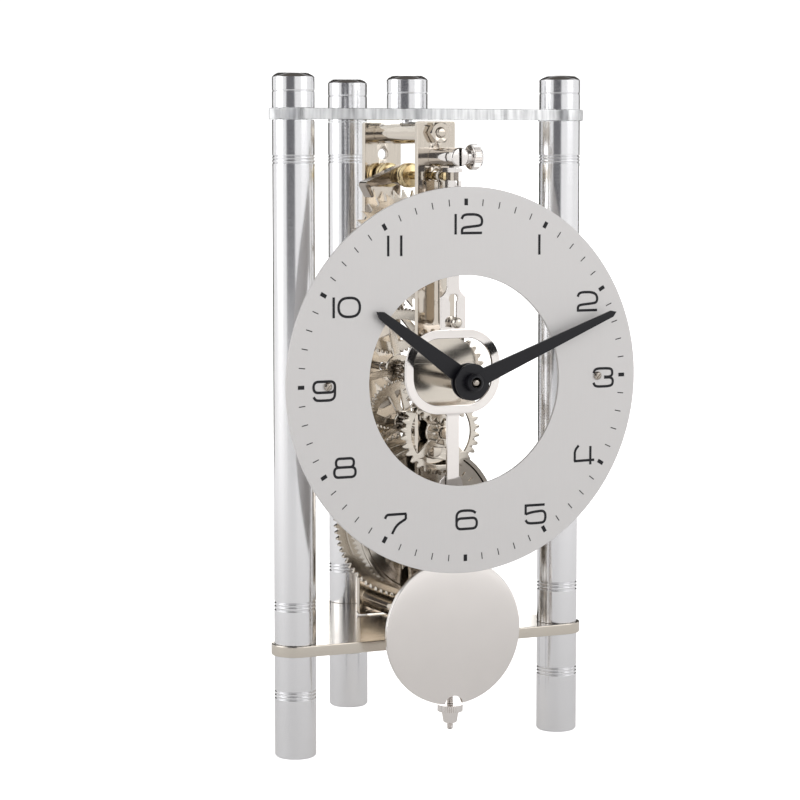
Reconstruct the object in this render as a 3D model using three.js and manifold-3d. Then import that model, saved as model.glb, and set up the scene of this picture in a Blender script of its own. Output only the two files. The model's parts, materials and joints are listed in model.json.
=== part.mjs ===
// Skeleton clock: three turned columns between a metal bottom plate and a clear top plate, a narrow
// movement standing between the plates, a ring dial in front and a short pendulum behind the dial.
// Millimetres. +X is to the right as the dial is read, +Y runs to the back, +Z is up.
import * as THREE from 'three';
import { mergeVertices } from 'three/addons/utils/BufferGeometryUtils.js';
import Module from 'manifold-3d';

const wasm = await Module();
wasm.setup();

// ---------------------------------------------------------------- driving dimensions
const gap = 0.3; // clearance between neighbouring pieces
const footZ = -1; // the feet's lower ends: the whole clock is raised by this much to stand on Z = 0
const finialTopZ = 195;
const columnRadius = 6;
const frontColumnX = 42.65;
const backColumnY = 58.5;
const capY = 15.2; // the movement's own finial, between the plates
const bottomPlate = { low: 28.9, thickness: 3.2 };
const topPlate = { low: 181.8, thickness: 3.2 };
const plateCornerRadius = 6.9;
const plateBow = 3; // how far the two rear edges bend inwards
const studRadius = 2;
const studReach = 12; // how far a stud enters its column

const movement = {
  halfWidth: 6, footHalfWidth: 8, footTop: 62, thickness: 2, frontY: -4.6, backY: 32.3,
};
const pillar = { radius: 3.25, stud: 1.5, topZ: 178.2, bottomZ: 35.7 };
const nut = { acrossFlats: 5.7, thickness: 2.6 };

const dial = { centreZ: 108, outer: 55, inner: 30, frontY: -23.9, thickness: 1 };
const hourHand = { length: 35, rootWidth: 5, tipWidth: 2.4, frontY: -26, angle: 305.7 };
const minuteHand = { length: 50, rootWidth: 4.6, tipWidth: 1.9, frontY: -28.5, angle: 68 };
const handThickness = 1;
const handBossRadius = 5.25;

// Arbor heights, all on the centre line
const axis = {
  barrel: 65, minuteWheel: 91.8, intermediate: 92.5, centre: 108, third: 127.5, escape: 144, anchor: 165.8,
};
const arborRadius = 1.2;
const pivotRadius = 0.9;
const teeth = {
  barrel: 80, intermediatePinion: 10, intermediate: 60, centrePinion: 12, centre: 96, thirdPinion: 7,
  third: 60, escapePinion: 6, escape: 36, cannon: 10, minuteWheel: 30, minutePinion: 8, hour: 32, ratchet: 36,
};
const escapeTipRadius = 17.6;
const ratchetTipRadius = 17;
const drum = { radius: 22, wall: 1.2, frontY: 0, backY: 12, rimBackY: 13.6 };

const leader = { frontY: -16, thickness: 1, topZ: 162.6, stripHalf: 1.8, headHalf: 3.9 };
const ring = {
  centreZ: 110, width: 30, height: 24.2, corner: 10.5, innerWidth: 25, innerHeight: 19.2, innerCorner: 8.2,
};
const crutchPinZ = 124.2;
const bob = { radius: 21.4, centreZ: 34.8, backY: -15.5, edge: 1.2, dome: 0.6 };
const rodY = -14.2;
const rodRadius = 0.95;
const suspension = { z: 171.2, radius: 2.7, frontY: -20.2, screwY: -17 };

const frontReach = -31; // tip of the centre arbor
const backReach = backColumnY + plateCornerRadius;

// ---------------------------------------------------------------- materials
function finish(color, metalness, roughness, extra = {}) {
  return new THREE.MeshStandardMaterial({ color, metalness, roughness, ...extra });
}
const aluminium = finish(0xd9dadc, 1, 0.3);
const nickel = finish(0xd8d2cb, 1, 0.12);
const satinSilver = finish(0xcfcdcd, 0.4, 0.5);
const brass = finish(0xc9a25e, 1, 0.3);
const steel = finish(0x8f8d8c, 1, 0.3);
const blueSteel = finish(0x4a4b52, 1, 0.35);
const black = finish(0x17171a, 0, 0.45);
const acrylic = finish(0xdfe8e6, 0, 0.05, { transparent: true, opacity: 0.3 });

// ---------------------------------------------------------------- geometry helpers
// Merges shared corners, drops collapsed triangles and turns the faces outwards.
function closed(geometry) {
  geometry.deleteAttribute('normal');
  geometry.deleteAttribute('uv');
  const merged = mergeVertices(geometry, 1e-4);
  const position = merged.getAttribute('position').array;
  const source = merged.getIndex().array;
  const index = [];
  let volume = 0;
  const corner = (i) => new THREE.Vector3().fromArray(position, i * 3);
  for (let i = 0; i < source.length; i += 3) {
    const [a, b, c] = [source[i], source[i + 1], source[i + 2]];
    if (a !== b && b !== c && c !== a) {
      index.push(a, b, c);
      volume += corner(a).dot(corner(b).cross(corner(c)));
    }
  }
  if (volume < 0) {
    for (let i = 0; i < index.length; i += 3) {
      [index[i + 1], index[i + 2]] = [index[i + 2], index[i + 1]];
    }
  }
  const result = new THREE.BufferGeometry();
  result.setAttribute('position', new THREE.BufferAttribute(Float32Array.from(position), 3));
  result.setIndex(index);
  return result;
}

function toSolid(geometry) {
  const tidy = closed(geometry);
  return new wasm.Manifold(new wasm.Mesh({
    numProp: 3,
    vertProperties: tidy.getAttribute('position').array,
    triVerts: Uint32Array.from(tidy.getIndex().array),
  }));
}

function toGeometry(solid) {
  const mesh = solid.getMesh();
  const geometry = new THREE.BufferGeometry();
  geometry.setAttribute('position', new THREE.BufferAttribute(mesh.vertProperties, 3));
  geometry.setIndex(new THREE.BufferAttribute(mesh.triVerts, 1));
  return geometry;
}

function join(first, ...others) {
  return toGeometry(others.reduce((sum, other) => sum.add(toSolid(other)), toSolid(first)));
}

function cut(first, ...tools) {
  return toGeometry(tools.reduce((rest, tool) => rest.subtract(toSolid(tool)), toSolid(first)));
}

// A flat piece whose outline lies in the XZ plane, from frontY back by its thickness.
function slab(outline, frontY, thickness, curveSegments = 12) {
  const options = { depth: thickness, bevelEnabled: false, curveSegments };
  const geometry = new THREE.ExtrudeGeometry(outline, options);
  geometry.rotateX(Math.PI / 2);
  geometry.translate(0, frontY + thickness, 0);
  return closed(geometry);
}

// A flat piece whose outline lies in the XY plane, from lowZ up by its thickness.
function plate(outline, lowZ, thickness, curveSegments = 12) {
  const options = { depth: thickness, bevelEnabled: false, curveSegments };
  const geometry = new THREE.ExtrudeGeometry(outline, options);
  geometry.translate(0, 0, lowZ);
  return closed(geometry);
}

// Turned pieces: profile points are [radius, distance along the axis].
function turnedY(profile, x, z, segments = 20) {
  const points = profile.map(([r, y]) => new THREE.Vector2(r, y));
  const geometry = new THREE.LatheGeometry(points, segments);
  geometry.translate(x, 0, z);
  return closed(geometry);
}

function turnedZ(profile, x, y, segments = 20) {
  const points = profile.map(([r, z]) => new THREE.Vector2(r, z));
  const geometry = new THREE.LatheGeometry(points, segments);
  geometry.rotateX(Math.PI / 2);
  geometry.translate(x, y, 0);
  return closed(geometry);
}

function turnedX(profile, y, z, segments = 20) {
  const points = profile.map(([r, x]) => new THREE.Vector2(r, x));
  const geometry = new THREE.LatheGeometry(points, segments);
  geometry.rotateZ(-Math.PI / 2);
  geometry.translate(0, y, z);
  return closed(geometry);
}

function rodAlongY(radius, lowY, highY, x, z, segments = 16) {
  return turnedY([[0, lowY], [radius, lowY], [radius, highY], [0, highY]], x, z, segments);
}

function rodAlongZ(radius, lowZ, highZ, x, y, segments = 16) {
  return turnedZ([[0, lowZ], [radius, lowZ], [radius, highZ], [0, highZ]], x, y, segments);
}

function block(xRange, yRange, zRange) {
  const geometry = new THREE.BoxGeometry(
    xRange[1] - xRange[0], yRange[1] - yRange[0], zRange[1] - zRange[0]);
  geometry.translate(
    (xRange[0] + xRange[1]) / 2, (yRange[0] + yRange[1]) / 2, (zRange[0] + zRange[1]) / 2);
  return closed(geometry);
}

function arcPoints(x, y, radius, from, to, steps) {
  return Array.from({ length: steps + 1 }, (_, i) => polar(radius, from + ((to - from) * i) / steps, x, y));
}

function circlePath(x, y, radius, sides = 10) {
  return new THREE.Path(arcPoints(x, y, radius, Math.PI * 2, 0, sides).slice(1));
}

function discShape(x, y, radius, sides) {
  return new THREE.Shape(arcPoints(x, y, radius, 0, Math.PI * 2, sides).slice(1));
}

function roundedRectangle(target, x, y, width, height, radius) {
  const [left, right, low, high] = [x - width / 2, x + width / 2, y - height / 2, y + height / 2];
  target.moveTo(left + radius, low);
  target.lineTo(right - radius, low);
  target.absarc(right - radius, low + radius, radius, -Math.PI / 2, 0, false);
  target.lineTo(right, high - radius);
  target.absarc(right - radius, high - radius, radius, 0, Math.PI / 2, false);
  target.lineTo(left + radius, high);
  target.absarc(left + radius, high - radius, radius, Math.PI / 2, Math.PI, false);
  target.lineTo(left, low + radius);
  target.absarc(left + radius, low + radius, radius, Math.PI, Math.PI * 1.5, false);
  return target;
}

// ---------------------------------------------------------------- gear shapes
function polar(radius, angle, x = 0, y = 0) {
  return new THREE.Vector2(x + radius * Math.cos(angle), y + radius * Math.sin(angle));
}

// Clock teeth: a narrow flat tip and straight flanks down to a pointed root. The first tooth stands at
// startAngle, and toothDepth is the height above and below the pitch circle in modules.
const toothDepth = { above: 0.5, below: 1.25 };
function gearShape(count, pitchRadius, centreZ, startAngle) {
  const module = (2 * pitchRadius) / count;
  const pitch = (Math.PI * 2) / count;
  const tip = pitchRadius + toothDepth.above * module;
  const root = pitchRadius - toothDepth.below * module;
  const points = [];
  for (let i = 0; i < count; i += 1) {
    const middle = startAngle + i * pitch;
    points.push(polar(root, middle - pitch / 2, 0, centreZ));
    points.push(polar(tip, middle - pitch * 0.1, 0, centreZ));
    points.push(polar(tip, middle + pitch * 0.1, 0, centreZ));
  }
  return new THREE.Shape(points);
}

// Saw teeth with one steep face. Lean +1 puts the steep face on the clockwise side.
function sawShape(count, tip, root, centreZ, startAngle, lean) {
  const pitch = (Math.PI * 2) / count;
  const points = [];
  for (let i = 0; i < count; i += 1) {
    const middle = startAngle + i * pitch;
    const low = polar(root, middle - lean * pitch * 0.12, 0, centreZ);
    const high = polar(tip, middle, 0, centreZ);
    points.push(...(lean > 0 ? [low, high] : [high, low]));
  }
  return new THREE.Shape(points);
}

// Windows between the spokes of a wheel
function addWindows(shape, centreZ, inner, outer, count, spokeWidth, turn = 0) {
  for (let i = 0; i < count; i += 1) {
    const middle = turn + ((i + 0.5) * Math.PI * 2) / count;
    const halfOuter = Math.PI / count - spokeWidth / 2 / outer;
    const halfInner = Math.PI / count - spokeWidth / 2 / inner;
    shape.holes.push(new THREE.Path([
      ...arcPoints(0, centreZ, inner, middle - halfInner, middle + halfInner, 2),
      ...arcPoints(0, centreZ, outer, middle + halfOuter, middle - halfOuter, 4),
    ]));
  }
  return shape;
}

function pitchRadii(driver, driven, distance) {
  return [(distance * driver) / (driver + driven), (distance * driven) / (driver + driven)];
}
const [barrelPitch, intermediatePinionPitch] = pitchRadii(
  teeth.barrel, teeth.intermediatePinion, axis.intermediate - axis.barrel);
const [intermediatePitch, centrePinionPitch] = pitchRadii(
  teeth.intermediate, teeth.centrePinion, axis.centre - axis.intermediate);
const [centrePitch, thirdPinionPitch] = pitchRadii(
  teeth.centre, teeth.thirdPinion, axis.third - axis.centre);
const [thirdPitch, escapePinionPitch] = pitchRadii(
  teeth.third, teeth.escapePinion, axis.escape - axis.third);
const [minuteWheelPitch, cannonPitch] = pitchRadii(
  teeth.minuteWheel, teeth.cannon, axis.centre - axis.minuteWheel);
const [hourPitch, minutePinionPitch] = pitchRadii(
  teeth.hour, teeth.minutePinion, axis.centre - axis.minuteWheel);
const towardsTop = Math.PI / 2;
// A pinion above its wheel shows a gap to the tooth below it
const gapDown = (count) => -Math.PI / 2 + Math.PI / count;

// ---------------------------------------------------------------- assembly
const clock = new THREE.Group();
clock.name = 'skeleton_clock';
const centred = new THREE.Group();
centred.position.set(0, -(frontReach + backReach) / 2, -footZ);
clock.add(centred);

function add(name, geometry, material) {
  const mesh = new THREE.Mesh(closed(geometry), material);
  mesh.name = name;
  centred.add(mesh);
  return mesh;
}

const columns = [
  { side: 'front_left', x: -frontColumnX, y: 0 },
  { side: 'front_right', x: frontColumnX, y: 0 },
  { side: 'back', x: 0, y: backColumnY },
];

// ---------------------------------------------------------------- frame
function foot(x, y) {
  const top = bottomPlate.low - gap;
  const studTop = bottomPlate.low + bottomPlate.thickness + studReach;
  const chamfer = 0.6;
  return turnedZ([
    [0, footZ], [columnRadius - chamfer, footZ], [columnRadius, footZ + chamfer], [columnRadius, top],
    [studRadius, top], [studRadius, studTop], [0, studTop],
  ], x, y);
}

function column(x, y) {
  const low = bottomPlate.low + bottomPlate.thickness + gap;
  const high = topPlate.low - gap;
  const hole = studRadius + gap;
  const depth = studReach + gap;
  const body = turnedZ([
    [0, low + depth], [hole, low + depth], [hole, low], [columnRadius, low],
    [columnRadius, high], [hole, high], [hole, high - depth], [0, high - depth],
  ], x, y);
  if (x === 0) return body;
  const dialBolt = rodAlongY(standoff.tenon + gap, -columnRadius - 1, -columnRadius + standoff.entry + gap,
    x, dial.centreZ, 12);
  return cut(body, dialBolt);
}

function finial(x, y, studBottom, radius) {
  const low = topPlate.low + topPlate.thickness + gap;
  const rim = { height: 1.3, width: 1.5 };
  return turnedZ([
    [0, studBottom], [radius, studBottom], [radius, low], [columnRadius, low],
    [columnRadius, finialTopZ - rim.height], [columnRadius - rim.width, finialTopZ],
    [0, finialTopZ],
  ], x, y);
}

// Rounded triangle over the three columns, with the two rear edges bowed inwards
function triangleOutline() {
  const r = plateCornerRadius;
  const slope = Math.atan2(frontColumnX, backColumnY); // rear edges lean by this from the Y axis
  const outline = new THREE.Shape();
  outline.moveTo(-frontColumnX, -r);
  outline.lineTo(frontColumnX, -r);
  outline.absarc(frontColumnX, 0, r, -Math.PI / 2, slope, false);
  const rightMiddle = [frontColumnX / 2 + (r - plateBow) * Math.cos(slope),
    backColumnY / 2 + (r - plateBow) * Math.sin(slope)];
  outline.quadraticCurveTo(...rightMiddle, r * Math.cos(slope), backColumnY + r * Math.sin(slope));
  outline.absarc(0, backColumnY, r, slope, Math.PI - slope, false);
  outline.quadraticCurveTo(-rightMiddle[0], rightMiddle[1],
    -frontColumnX - r * Math.cos(slope), r * Math.sin(slope));
  outline.absarc(-frontColumnX, 0, r, Math.PI - slope, Math.PI * 1.5, false);
  for (const { x, y } of columns) outline.holes.push(circlePath(x, y, studRadius + gap));
  outline.holes.push(circlePath(0, capY, capScrewRadius + gap));
  return outline;
}

const capScrewRadius = 1.5;
const standoff = { radius: 2.2, tenon: 1.5, entry: 3.5, screwRadius: 0.9, screwDepth: 5 };

for (const { side, x, y } of columns) {
  add(`foot_${side}`, foot(x, y), aluminium);
  add(`column_${side}`, column(x, y), aluminium);
  add(`finial_${side}`, finial(x, y, topPlate.low - studReach, studRadius), aluminium);
}
add('finial_movement', finial(0, capY, pillar.topZ - 1.2, capScrewRadius), aluminium);
add('bottom_plate', plate(triangleOutline(), bottomPlate.low, bottomPlate.thickness, 5), nickel);
add('top_plate', plate(triangleOutline(), topPlate.low, topPlate.thickness, 5), acrylic);

function movementScrew() {
  const headTop = bottomPlate.low - gap;
  return turnedZ([
    [0, headTop - 2], [3, headTop - 2], [3.5, headTop - 1.4], [3.5, headTop],
    [capScrewRadius, headTop], [capScrewRadius, pillar.bottomZ + 1.2], [0, pillar.bottomZ + 1.2],
  ], 0, capY, 12);
}
add('movement_screw', movementScrew(), steel);

// ---------------------------------------------------------------- movement frame
const plateLow = bottomPlate.low + bottomPlate.thickness + gap;
const plateHigh = topPlate.low - gap;
const frontPlateBack = movement.frontY + movement.thickness;
const backPlateBack = movement.backY + movement.thickness;
const bushRadius = 2;
const bushBore = 1.4;

function movementOutline(holes) {
  const { halfWidth, footHalfWidth, footTop } = movement;
  const shoulder = 8;
  const outline = new THREE.Shape([
    [-footHalfWidth, plateLow], [footHalfWidth, plateLow], [footHalfWidth, footTop - shoulder],
    [halfWidth, footTop], [halfWidth, plateHigh], [-halfWidth, plateHigh],
    [-halfWidth, footTop], [-footHalfWidth, footTop - shoulder],
  ].map(([x, z]) => new THREE.Vector2(x, z)));
  for (const [z, radius] of holes) outline.holes.push(circlePath(0, z, radius));
  return outline;
}

function bush(lowY, highY, z) {
  return turnedY([[bushBore, lowY], [bushRadius, lowY], [bushRadius, highY], [bushBore, highY],
    [bushBore, lowY]], 0, z, 16);
}

const intermediateBushEnd = 10.8;
const thirdBushStart = 27.4;
const minutePost = { radius: 1, headRadius: 1.7, endY: -11.4 };
const clickPivot = { x: -1.2, z: 86.4, radius: 1.2, headRadius: 2 };
const clickPlane = { frontY: -6.1, thickness: 1.1 };

function frontPlate() {
  const outline = movementOutline([
    [pillar.topZ, pillar.stud + gap], [pillar.bottomZ, pillar.stud + gap],
    [axis.barrel, studRadius + gap], [axis.centre, arborRadius + gap],
    [axis.escape, pivotRadius + gap], [axis.anchor, arborRadius + gap], [suspension.z, 1.6 + gap],
  ]);
  const body = slab(outline, movement.frontY, movement.thickness, 6);
  const sunk = movement.frontY + 0.5; // rivets start inside the plate
  const post = turnedY([
    [0, sunk], [minutePost.radius, sunk], [minutePost.radius, minutePost.endY + 0.6],
    [minutePost.headRadius, minutePost.endY + 0.6], [minutePost.headRadius, minutePost.endY],
    [0, minutePost.endY],
  ].reverse(), 0, axis.minuteWheel, 14);
  const headBack = clickPlane.frontY - gap;
  const clickRivet = turnedY([
    [0, sunk], [clickPivot.radius, sunk], [clickPivot.radius, headBack],
    [clickPivot.headRadius, headBack], [clickPivot.headRadius, headBack - 0.3], [0, headBack - 0.3],
  ].reverse(), clickPivot.x, clickPivot.z, 14);
  return join(body, bush(frontPlateBack - 0.5, intermediateBushEnd, axis.intermediate), post, clickRivet);
}

function backPlate() {
  const outline = movementOutline([
    [pillar.topZ, pillar.stud + gap], [pillar.bottomZ, pillar.stud + gap],
    [axis.barrel, studRadius + gap], [axis.third, bushBore], [axis.centre, pivotRadius + gap],
    [axis.escape, pivotRadius + gap], [axis.anchor, pivotRadius + gap], [172, 1.6],
  ]);
  const body = slab(outline, movement.backY, movement.thickness, 6);
  return join(body, bush(thirdBushStart, movement.backY + 0.5, axis.third));
}

function pillarBody(z, screwFrom) {
  const low = frontPlateBack + gap;
  const high = movement.backY - gap;
  const reach = nut.thickness + 1;
  const body = turnedY([
    [0, movement.frontY - reach], [pillar.stud, movement.frontY - reach], [pillar.stud, low],
    [pillar.radius, low], [pillar.radius, high], [pillar.stud, high],
    [pillar.stud, backPlateBack + reach], [0, backPlateBack + reach],
  ], 0, z, 14);
  const blind = screwFrom > 0
    ? rodAlongZ(capScrewRadius + gap, z - 1.6, z + 5, 0, capY, 12)
    : rodAlongZ(capScrewRadius + gap, z - 5, z + 1.6, 0, capY, 12);
  return cut(body, blind);
}

function hexNut(frontY, z) {
  const corner = nut.acrossFlats / 2 / Math.cos(Math.PI / 6);
  const outline = discShape(0, z, corner, 6);
  outline.holes.push(circlePath(0, z, pillar.stud + gap));
  return slab(outline, frontY, nut.thickness, 6);
}

add('front_plate', frontPlate(), nickel);
add('back_plate', backPlate(), nickel);
add('top_pillar', pillarBody(pillar.topZ, 1), nickel);
add('bottom_pillar', pillarBody(pillar.bottomZ, -1), nickel);
for (const [level, z] of [['top', pillar.topZ], ['bottom', pillar.bottomZ]]) {
  add(`nut_front_${level}`, hexNut(movement.frontY - gap - nut.thickness, z), nickel);
  add(`nut_back_${level}`, hexNut(backPlateBack + gap, z), nickel);
}

// ---------------------------------------------------------------- dial
function dialRing() {
  const outline = discShape(0, dial.centreZ, dial.outer, 64);
  outline.holes.push(circlePath(0, dial.centreZ, dial.inner, 48));
  for (const x of [-frontColumnX, frontColumnX]) {
    outline.holes.push(circlePath(x, dial.centreZ, standoff.screwRadius + gap, 8));
  }
  return slab(outline, dial.frontY, dial.thickness);
}

function dialStandoff(x) {
  const front = dial.frontY + dial.thickness + gap;
  const back = -columnRadius - gap;
  const bore = standoff.screwRadius + gap;
  return turnedY([
    [0, front + standoff.screwDepth + gap], [bore, front + standoff.screwDepth + gap], [bore, front],
    [standoff.radius, front], [standoff.radius, back], [standoff.tenon, back],
    [standoff.tenon, back + standoff.entry], [0, back + standoff.entry],
  ], x, dial.centreZ, 12);
}

function dialScrew(x) {
  const headBack = dial.frontY - gap;
  const screw = turnedY([
    [0, headBack - 0.7], [1.2, headBack - 0.6], [1.5, headBack - 0.3], [1.5, headBack],
    [standoff.screwRadius, headBack], [standoff.screwRadius, dial.frontY + standoff.screwDepth],
    [0, dial.frontY + standoff.screwDepth],
  ], x, dial.centreZ, 10);
  const slot = block(
    [x - 2, x + 2], [headBack - 1, headBack - 0.4], [dial.centreZ - 0.2, dial.centreZ + 0.2]);
  return cut(screw, slot);
}

add('dial', dialRing(), satinSilver);
for (const [side, x] of [['left', -frontColumnX], ['right', frontColumnX]]) {
  add(`dial_standoff_${side}`, dialStandoff(x), aluminium);
  add(`dial_screw_${side}`, dialScrew(x), steel);
}

// ---------------------------------------------------------------- going train
function wheel({ count, pitch, z, start, bore, frontY, thickness, windows }) {
  const outline = gearShape(count, pitch, z, start);
  addWindows(outline, z, windows.inner, windows.outer, windows.count, windows.spoke, windows.turn);
  outline.holes.push(circlePath(0, z, bore));
  return slab(outline, frontY, thickness, 5);
}

function pinion(count, pitch, z, frontY, length) {
  return slab(gearShape(count, pitch, z, gapDown(count)), frontY, length);
}

function drumWall() {
  const inner = drum.radius - drum.wall;
  const end = drum.backY - gap;
  return turnedY([
    [inner, drum.frontY], [drum.radius, drum.frontY], [drum.radius, end], [inner, end],
    [inner, drum.frontY],
  ], 0, axis.barrel, 32);
}

function barrelWheel() {
  const rim = gearShape(teeth.barrel, barrelPitch, axis.barrel, towardsTop);
  rim.holes.push(circlePath(0, axis.barrel, 3));
  return slab(rim, drum.backY, drum.rimBackY - drum.backY, 5);
}

function barrelCap() {
  const outline = discShape(0, axis.barrel, drum.radius - drum.wall - gap, 32);
  outline.holes.push(circlePath(0, axis.barrel, 3));
  return slab(outline, drum.frontY + 0.2, 1, 16);
}

function mainspring() {
  const [start, end, turns, steps] = [4.6, 20, 5, 12];
  const half = 0.3;
  const inner = [];
  const outer = [];
  for (let i = 0; i <= turns * steps; i += 1) {
    const angle = (i / steps) * Math.PI * 2;
    const radius = start + ((end - start) * i) / (turns * steps);
    outer.push(polar(radius + half, angle, 0, axis.barrel));
    inner.push(polar(radius - half, angle, 0, axis.barrel));
  }
  return slab(new THREE.Shape([...outer, ...inner.reverse()]), 1.6, 9.8);
}

function barrelArbor() {
  const turned = turnedY([
    [0, movement.frontY], [studRadius, movement.frontY], [studRadius, frontPlateBack + gap],
    [2.6, frontPlateBack + gap],
    [2.6, 1.6], [4, 1.6], [4, 11.4], [2.6, 11.4], [2.6, movement.backY - gap],
    [studRadius, movement.backY - gap], [studRadius, backPlateBack + 1], [0, backPlateBack + 1],
  ], 0, axis.barrel, 12);
  const half = 1.4;
  const front = block([-half, half], [-6.7, -4.5], [axis.barrel - half, axis.barrel + half]);
  const back = block([-half, half], [backPlateBack, 46], [axis.barrel - half, axis.barrel + half]);
  return join(turned, front, back);
}

function ratchetWheel() {
  const root = ratchetTipRadius - 1.6;
  const outline = sawShape(teeth.ratchet, ratchetTipRadius, root, axis.barrel, ratchetStart, -1);
  const half = 1.4 + gap;
  outline.holes.push(new THREE.Path([
    [-half, -half], [-half, half], [half, half], [half, -half],
  ].map(([x, z]) => new THREE.Vector2(x, axis.barrel + z))));
  return slab(outline, clickPlane.frontY, clickPlane.thickness);
}

// The click reaches right from its rivet and drops its nose behind the tooth that stands at this angle
const ratchetStart = THREE.MathUtils.degToRad(68.6);
function click() {
  const { x, z } = clickPivot;
  const outline = new THREE.Shape();
  outline.absarc(x, z, 2.6, Math.PI * 0.45, Math.PI * 1.6, false);
  outline.lineTo(3.4, 83);
  outline.lineTo(5.3, 80.6);
  outline.lineTo(6.2, 82.2);
  outline.lineTo(4.6, 85.6);
  outline.closePath();
  outline.holes.push(circlePath(x, z, clickPivot.radius + gap));
  return slab(outline, clickPlane.frontY, clickPlane.thickness, 5);
}

function clickSpring() {
  const outline = new THREE.Shape();
  outline.moveTo(-5.6, 95.4);
  outline.lineTo(-2.4, 95.4);
  outline.quadraticCurveTo(3.6, 95.2, 4.6, 86.6);
  outline.lineTo(5.1, 86.7);
  outline.quadraticCurveTo(4.4, 96, -2.4, 97.6);
  outline.lineTo(-5.6, 97.6);
  outline.closePath();
  const strip = slab(outline, -6.1, 0.9, 6);
  const rivet = rodAlongY(0.7, -5.5, movement.frontY - gap, -4.2, 96.5, 10);
  return join(strip, rivet);
}

add('barrel', drumWall(), nickel);
add('barrel_wheel', barrelWheel(), nickel);
add('barrel_cap', barrelCap(), nickel);
add('mainspring', mainspring(), blueSteel);
add('barrel_arbor', barrelArbor(), steel);
add('ratchet_wheel', ratchetWheel(), nickel);
add('click', click(), nickel);
add('click_spring', clickSpring(), steel);

// An arbor with its pinion: the pinion teeth are cut from the same bar.
function arborWithPinion(z, profile, pinionPart) {
  return pinionPart ? join(turnedY(profile, 0, z, 14), pinionPart) : turnedY(profile, 0, z, 14);
}

function intermediateArbor() {
  const r = 1.1;
  return arborWithPinion(axis.intermediate,
    [[0, frontPlateBack + gap], [r, frontPlateBack + gap], [r, 18.3], [0, 18.3]],
    pinion(teeth.intermediatePinion, intermediatePinionPitch, axis.intermediate, 11.1, 4.2));
}

function thirdArbor() {
  const r = 1.1;
  const root = 0.8;
  return arborWithPinion(axis.third,
    [[0, 19.3], [root, 19.3], [root, 22.6], [r, 22.6], [r, backPlateBack + 0.3], [0, backPlateBack + 0.3]],
    pinion(teeth.thirdPinion, thirdPinionPitch, axis.third, 19.3, 3.3));
}

function centreArbor() {
  return arborWithPinion(axis.centre, [
    [0, frontReach], [1, frontReach + 0.2], [arborRadius, frontReach + 0.5],
    [arborRadius, movement.backY - gap],
    [pivotRadius, movement.backY - gap], [pivotRadius, backPlateBack + 0.3], [0, backPlateBack + 0.3],
  ], pinion(teeth.centrePinion, centrePinionPitch, axis.centre, 15.2, 3.4));
}

function escapeArbor() {
  return arborWithPinion(axis.escape, [
    [0, movement.frontY - 0.3], [pivotRadius, movement.frontY - 0.3], [pivotRadius, backPlateBack + 0.3],
    [0, backPlateBack + 0.3],
  ], pinion(teeth.escapePinion, escapePinionPitch, axis.escape, 24, 3.4));
}

function escapeWheel() {
  const outline = sawShape(teeth.escape, escapeTipRadius, escapeTipRadius - 2.4, axis.escape, towardsTop, -1);
  addWindows(outline, axis.escape, 3.6, 12.6, 4, 2, 0.4);
  outline.holes.push(circlePath(0, axis.escape, pivotRadius + gap));
  return slab(outline, 17.6, 1.2, 5);
}

add('intermediate_arbor', intermediateArbor(), steel);
add('intermediate_wheel', wheel({
  count: teeth.intermediate, pitch: intermediatePitch, z: axis.intermediate, start: towardsTop, bore: 1.4,
  frontY: 16, thickness: 1.2, windows: { inner: 3.4, outer: 10, count: 4, spoke: 2, turn: 0.5 },
}), nickel);
add('centre_arbor', centreArbor(), steel);
add('centre_wheel', wheel({
  count: teeth.centre, pitch: centrePitch, z: axis.centre, start: towardsTop, bore: arborRadius + gap,
  frontY: 20, thickness: 1.2, windows: { inner: 4.4, outer: 15, count: 4, spoke: 2.2, turn: 0.2 },
}), nickel);
add('third_arbor', thirdArbor(), steel);
add('third_wheel', wheel({
  count: teeth.third, pitch: thirdPitch, z: axis.third, start: towardsTop, bore: 1.4,
  frontY: 24.8, thickness: 1.2, windows: { inner: 3.6, outer: 11.6, count: 4, spoke: 2, turn: 0.7 },
}), nickel);
add('escape_arbor', escapeArbor(), steel);
add('escape_wheel', escapeWheel(), nickel);

// ---------------------------------------------------------------- anchor and crutch
const anchorPlane = { frontY: 16.2, thickness: 5 };
function collet(lowY, highY) {
  const radius = 3.65;
  const chamfer = 0.6;
  return [[arborRadius, lowY], [radius - chamfer, lowY], [radius, lowY + chamfer],
    [radius, highY - chamfer], [radius - chamfer, highY], [arborRadius, highY]];
}

function anchorArbor() {
  return turnedY([
    [0, -9.9], [arborRadius, -9.9], ...collet(12, 15.8), ...collet(26.8, 30.8),
    [arborRadius, movement.backY - gap],
    [pivotRadius, movement.backY - gap], [pivotRadius, backPlateBack + 0.3], [0, backPlateBack + 0.3],
  ], 0, axis.anchor, 12);
}

// One bent strip: a hub over the arbor, two sloping arms and a nib at each end that ends just above the
// escape wheel's tip circle.
function anchor() {
  const z = axis.anchor;
  const right = [
    [0, z + 3.1], [2.2, z + 2.6], [12.9, z - 2.0], [13.1, z - 2.9], [11.1, z - 6.6],
    [10.1, z - 6.2], [11.4, z - 3.4], [3.0, z - 2.2], [0, z - 2.9],
  ];
  const left = right.slice(1, -1).reverse().map(([x, height]) => [-x, height]);
  const outline = new THREE.Shape([...right, ...left].map(([x, height]) => new THREE.Vector2(x, height)));
  const strip = slab(outline, anchorPlane.frontY, anchorPlane.thickness);
  const end = anchorPlane.frontY + anchorPlane.thickness;
  return cut(strip, rodAlongY(arborRadius + gap, anchorPlane.frontY - 1, end + 1, 0, z, 12));
}

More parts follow.
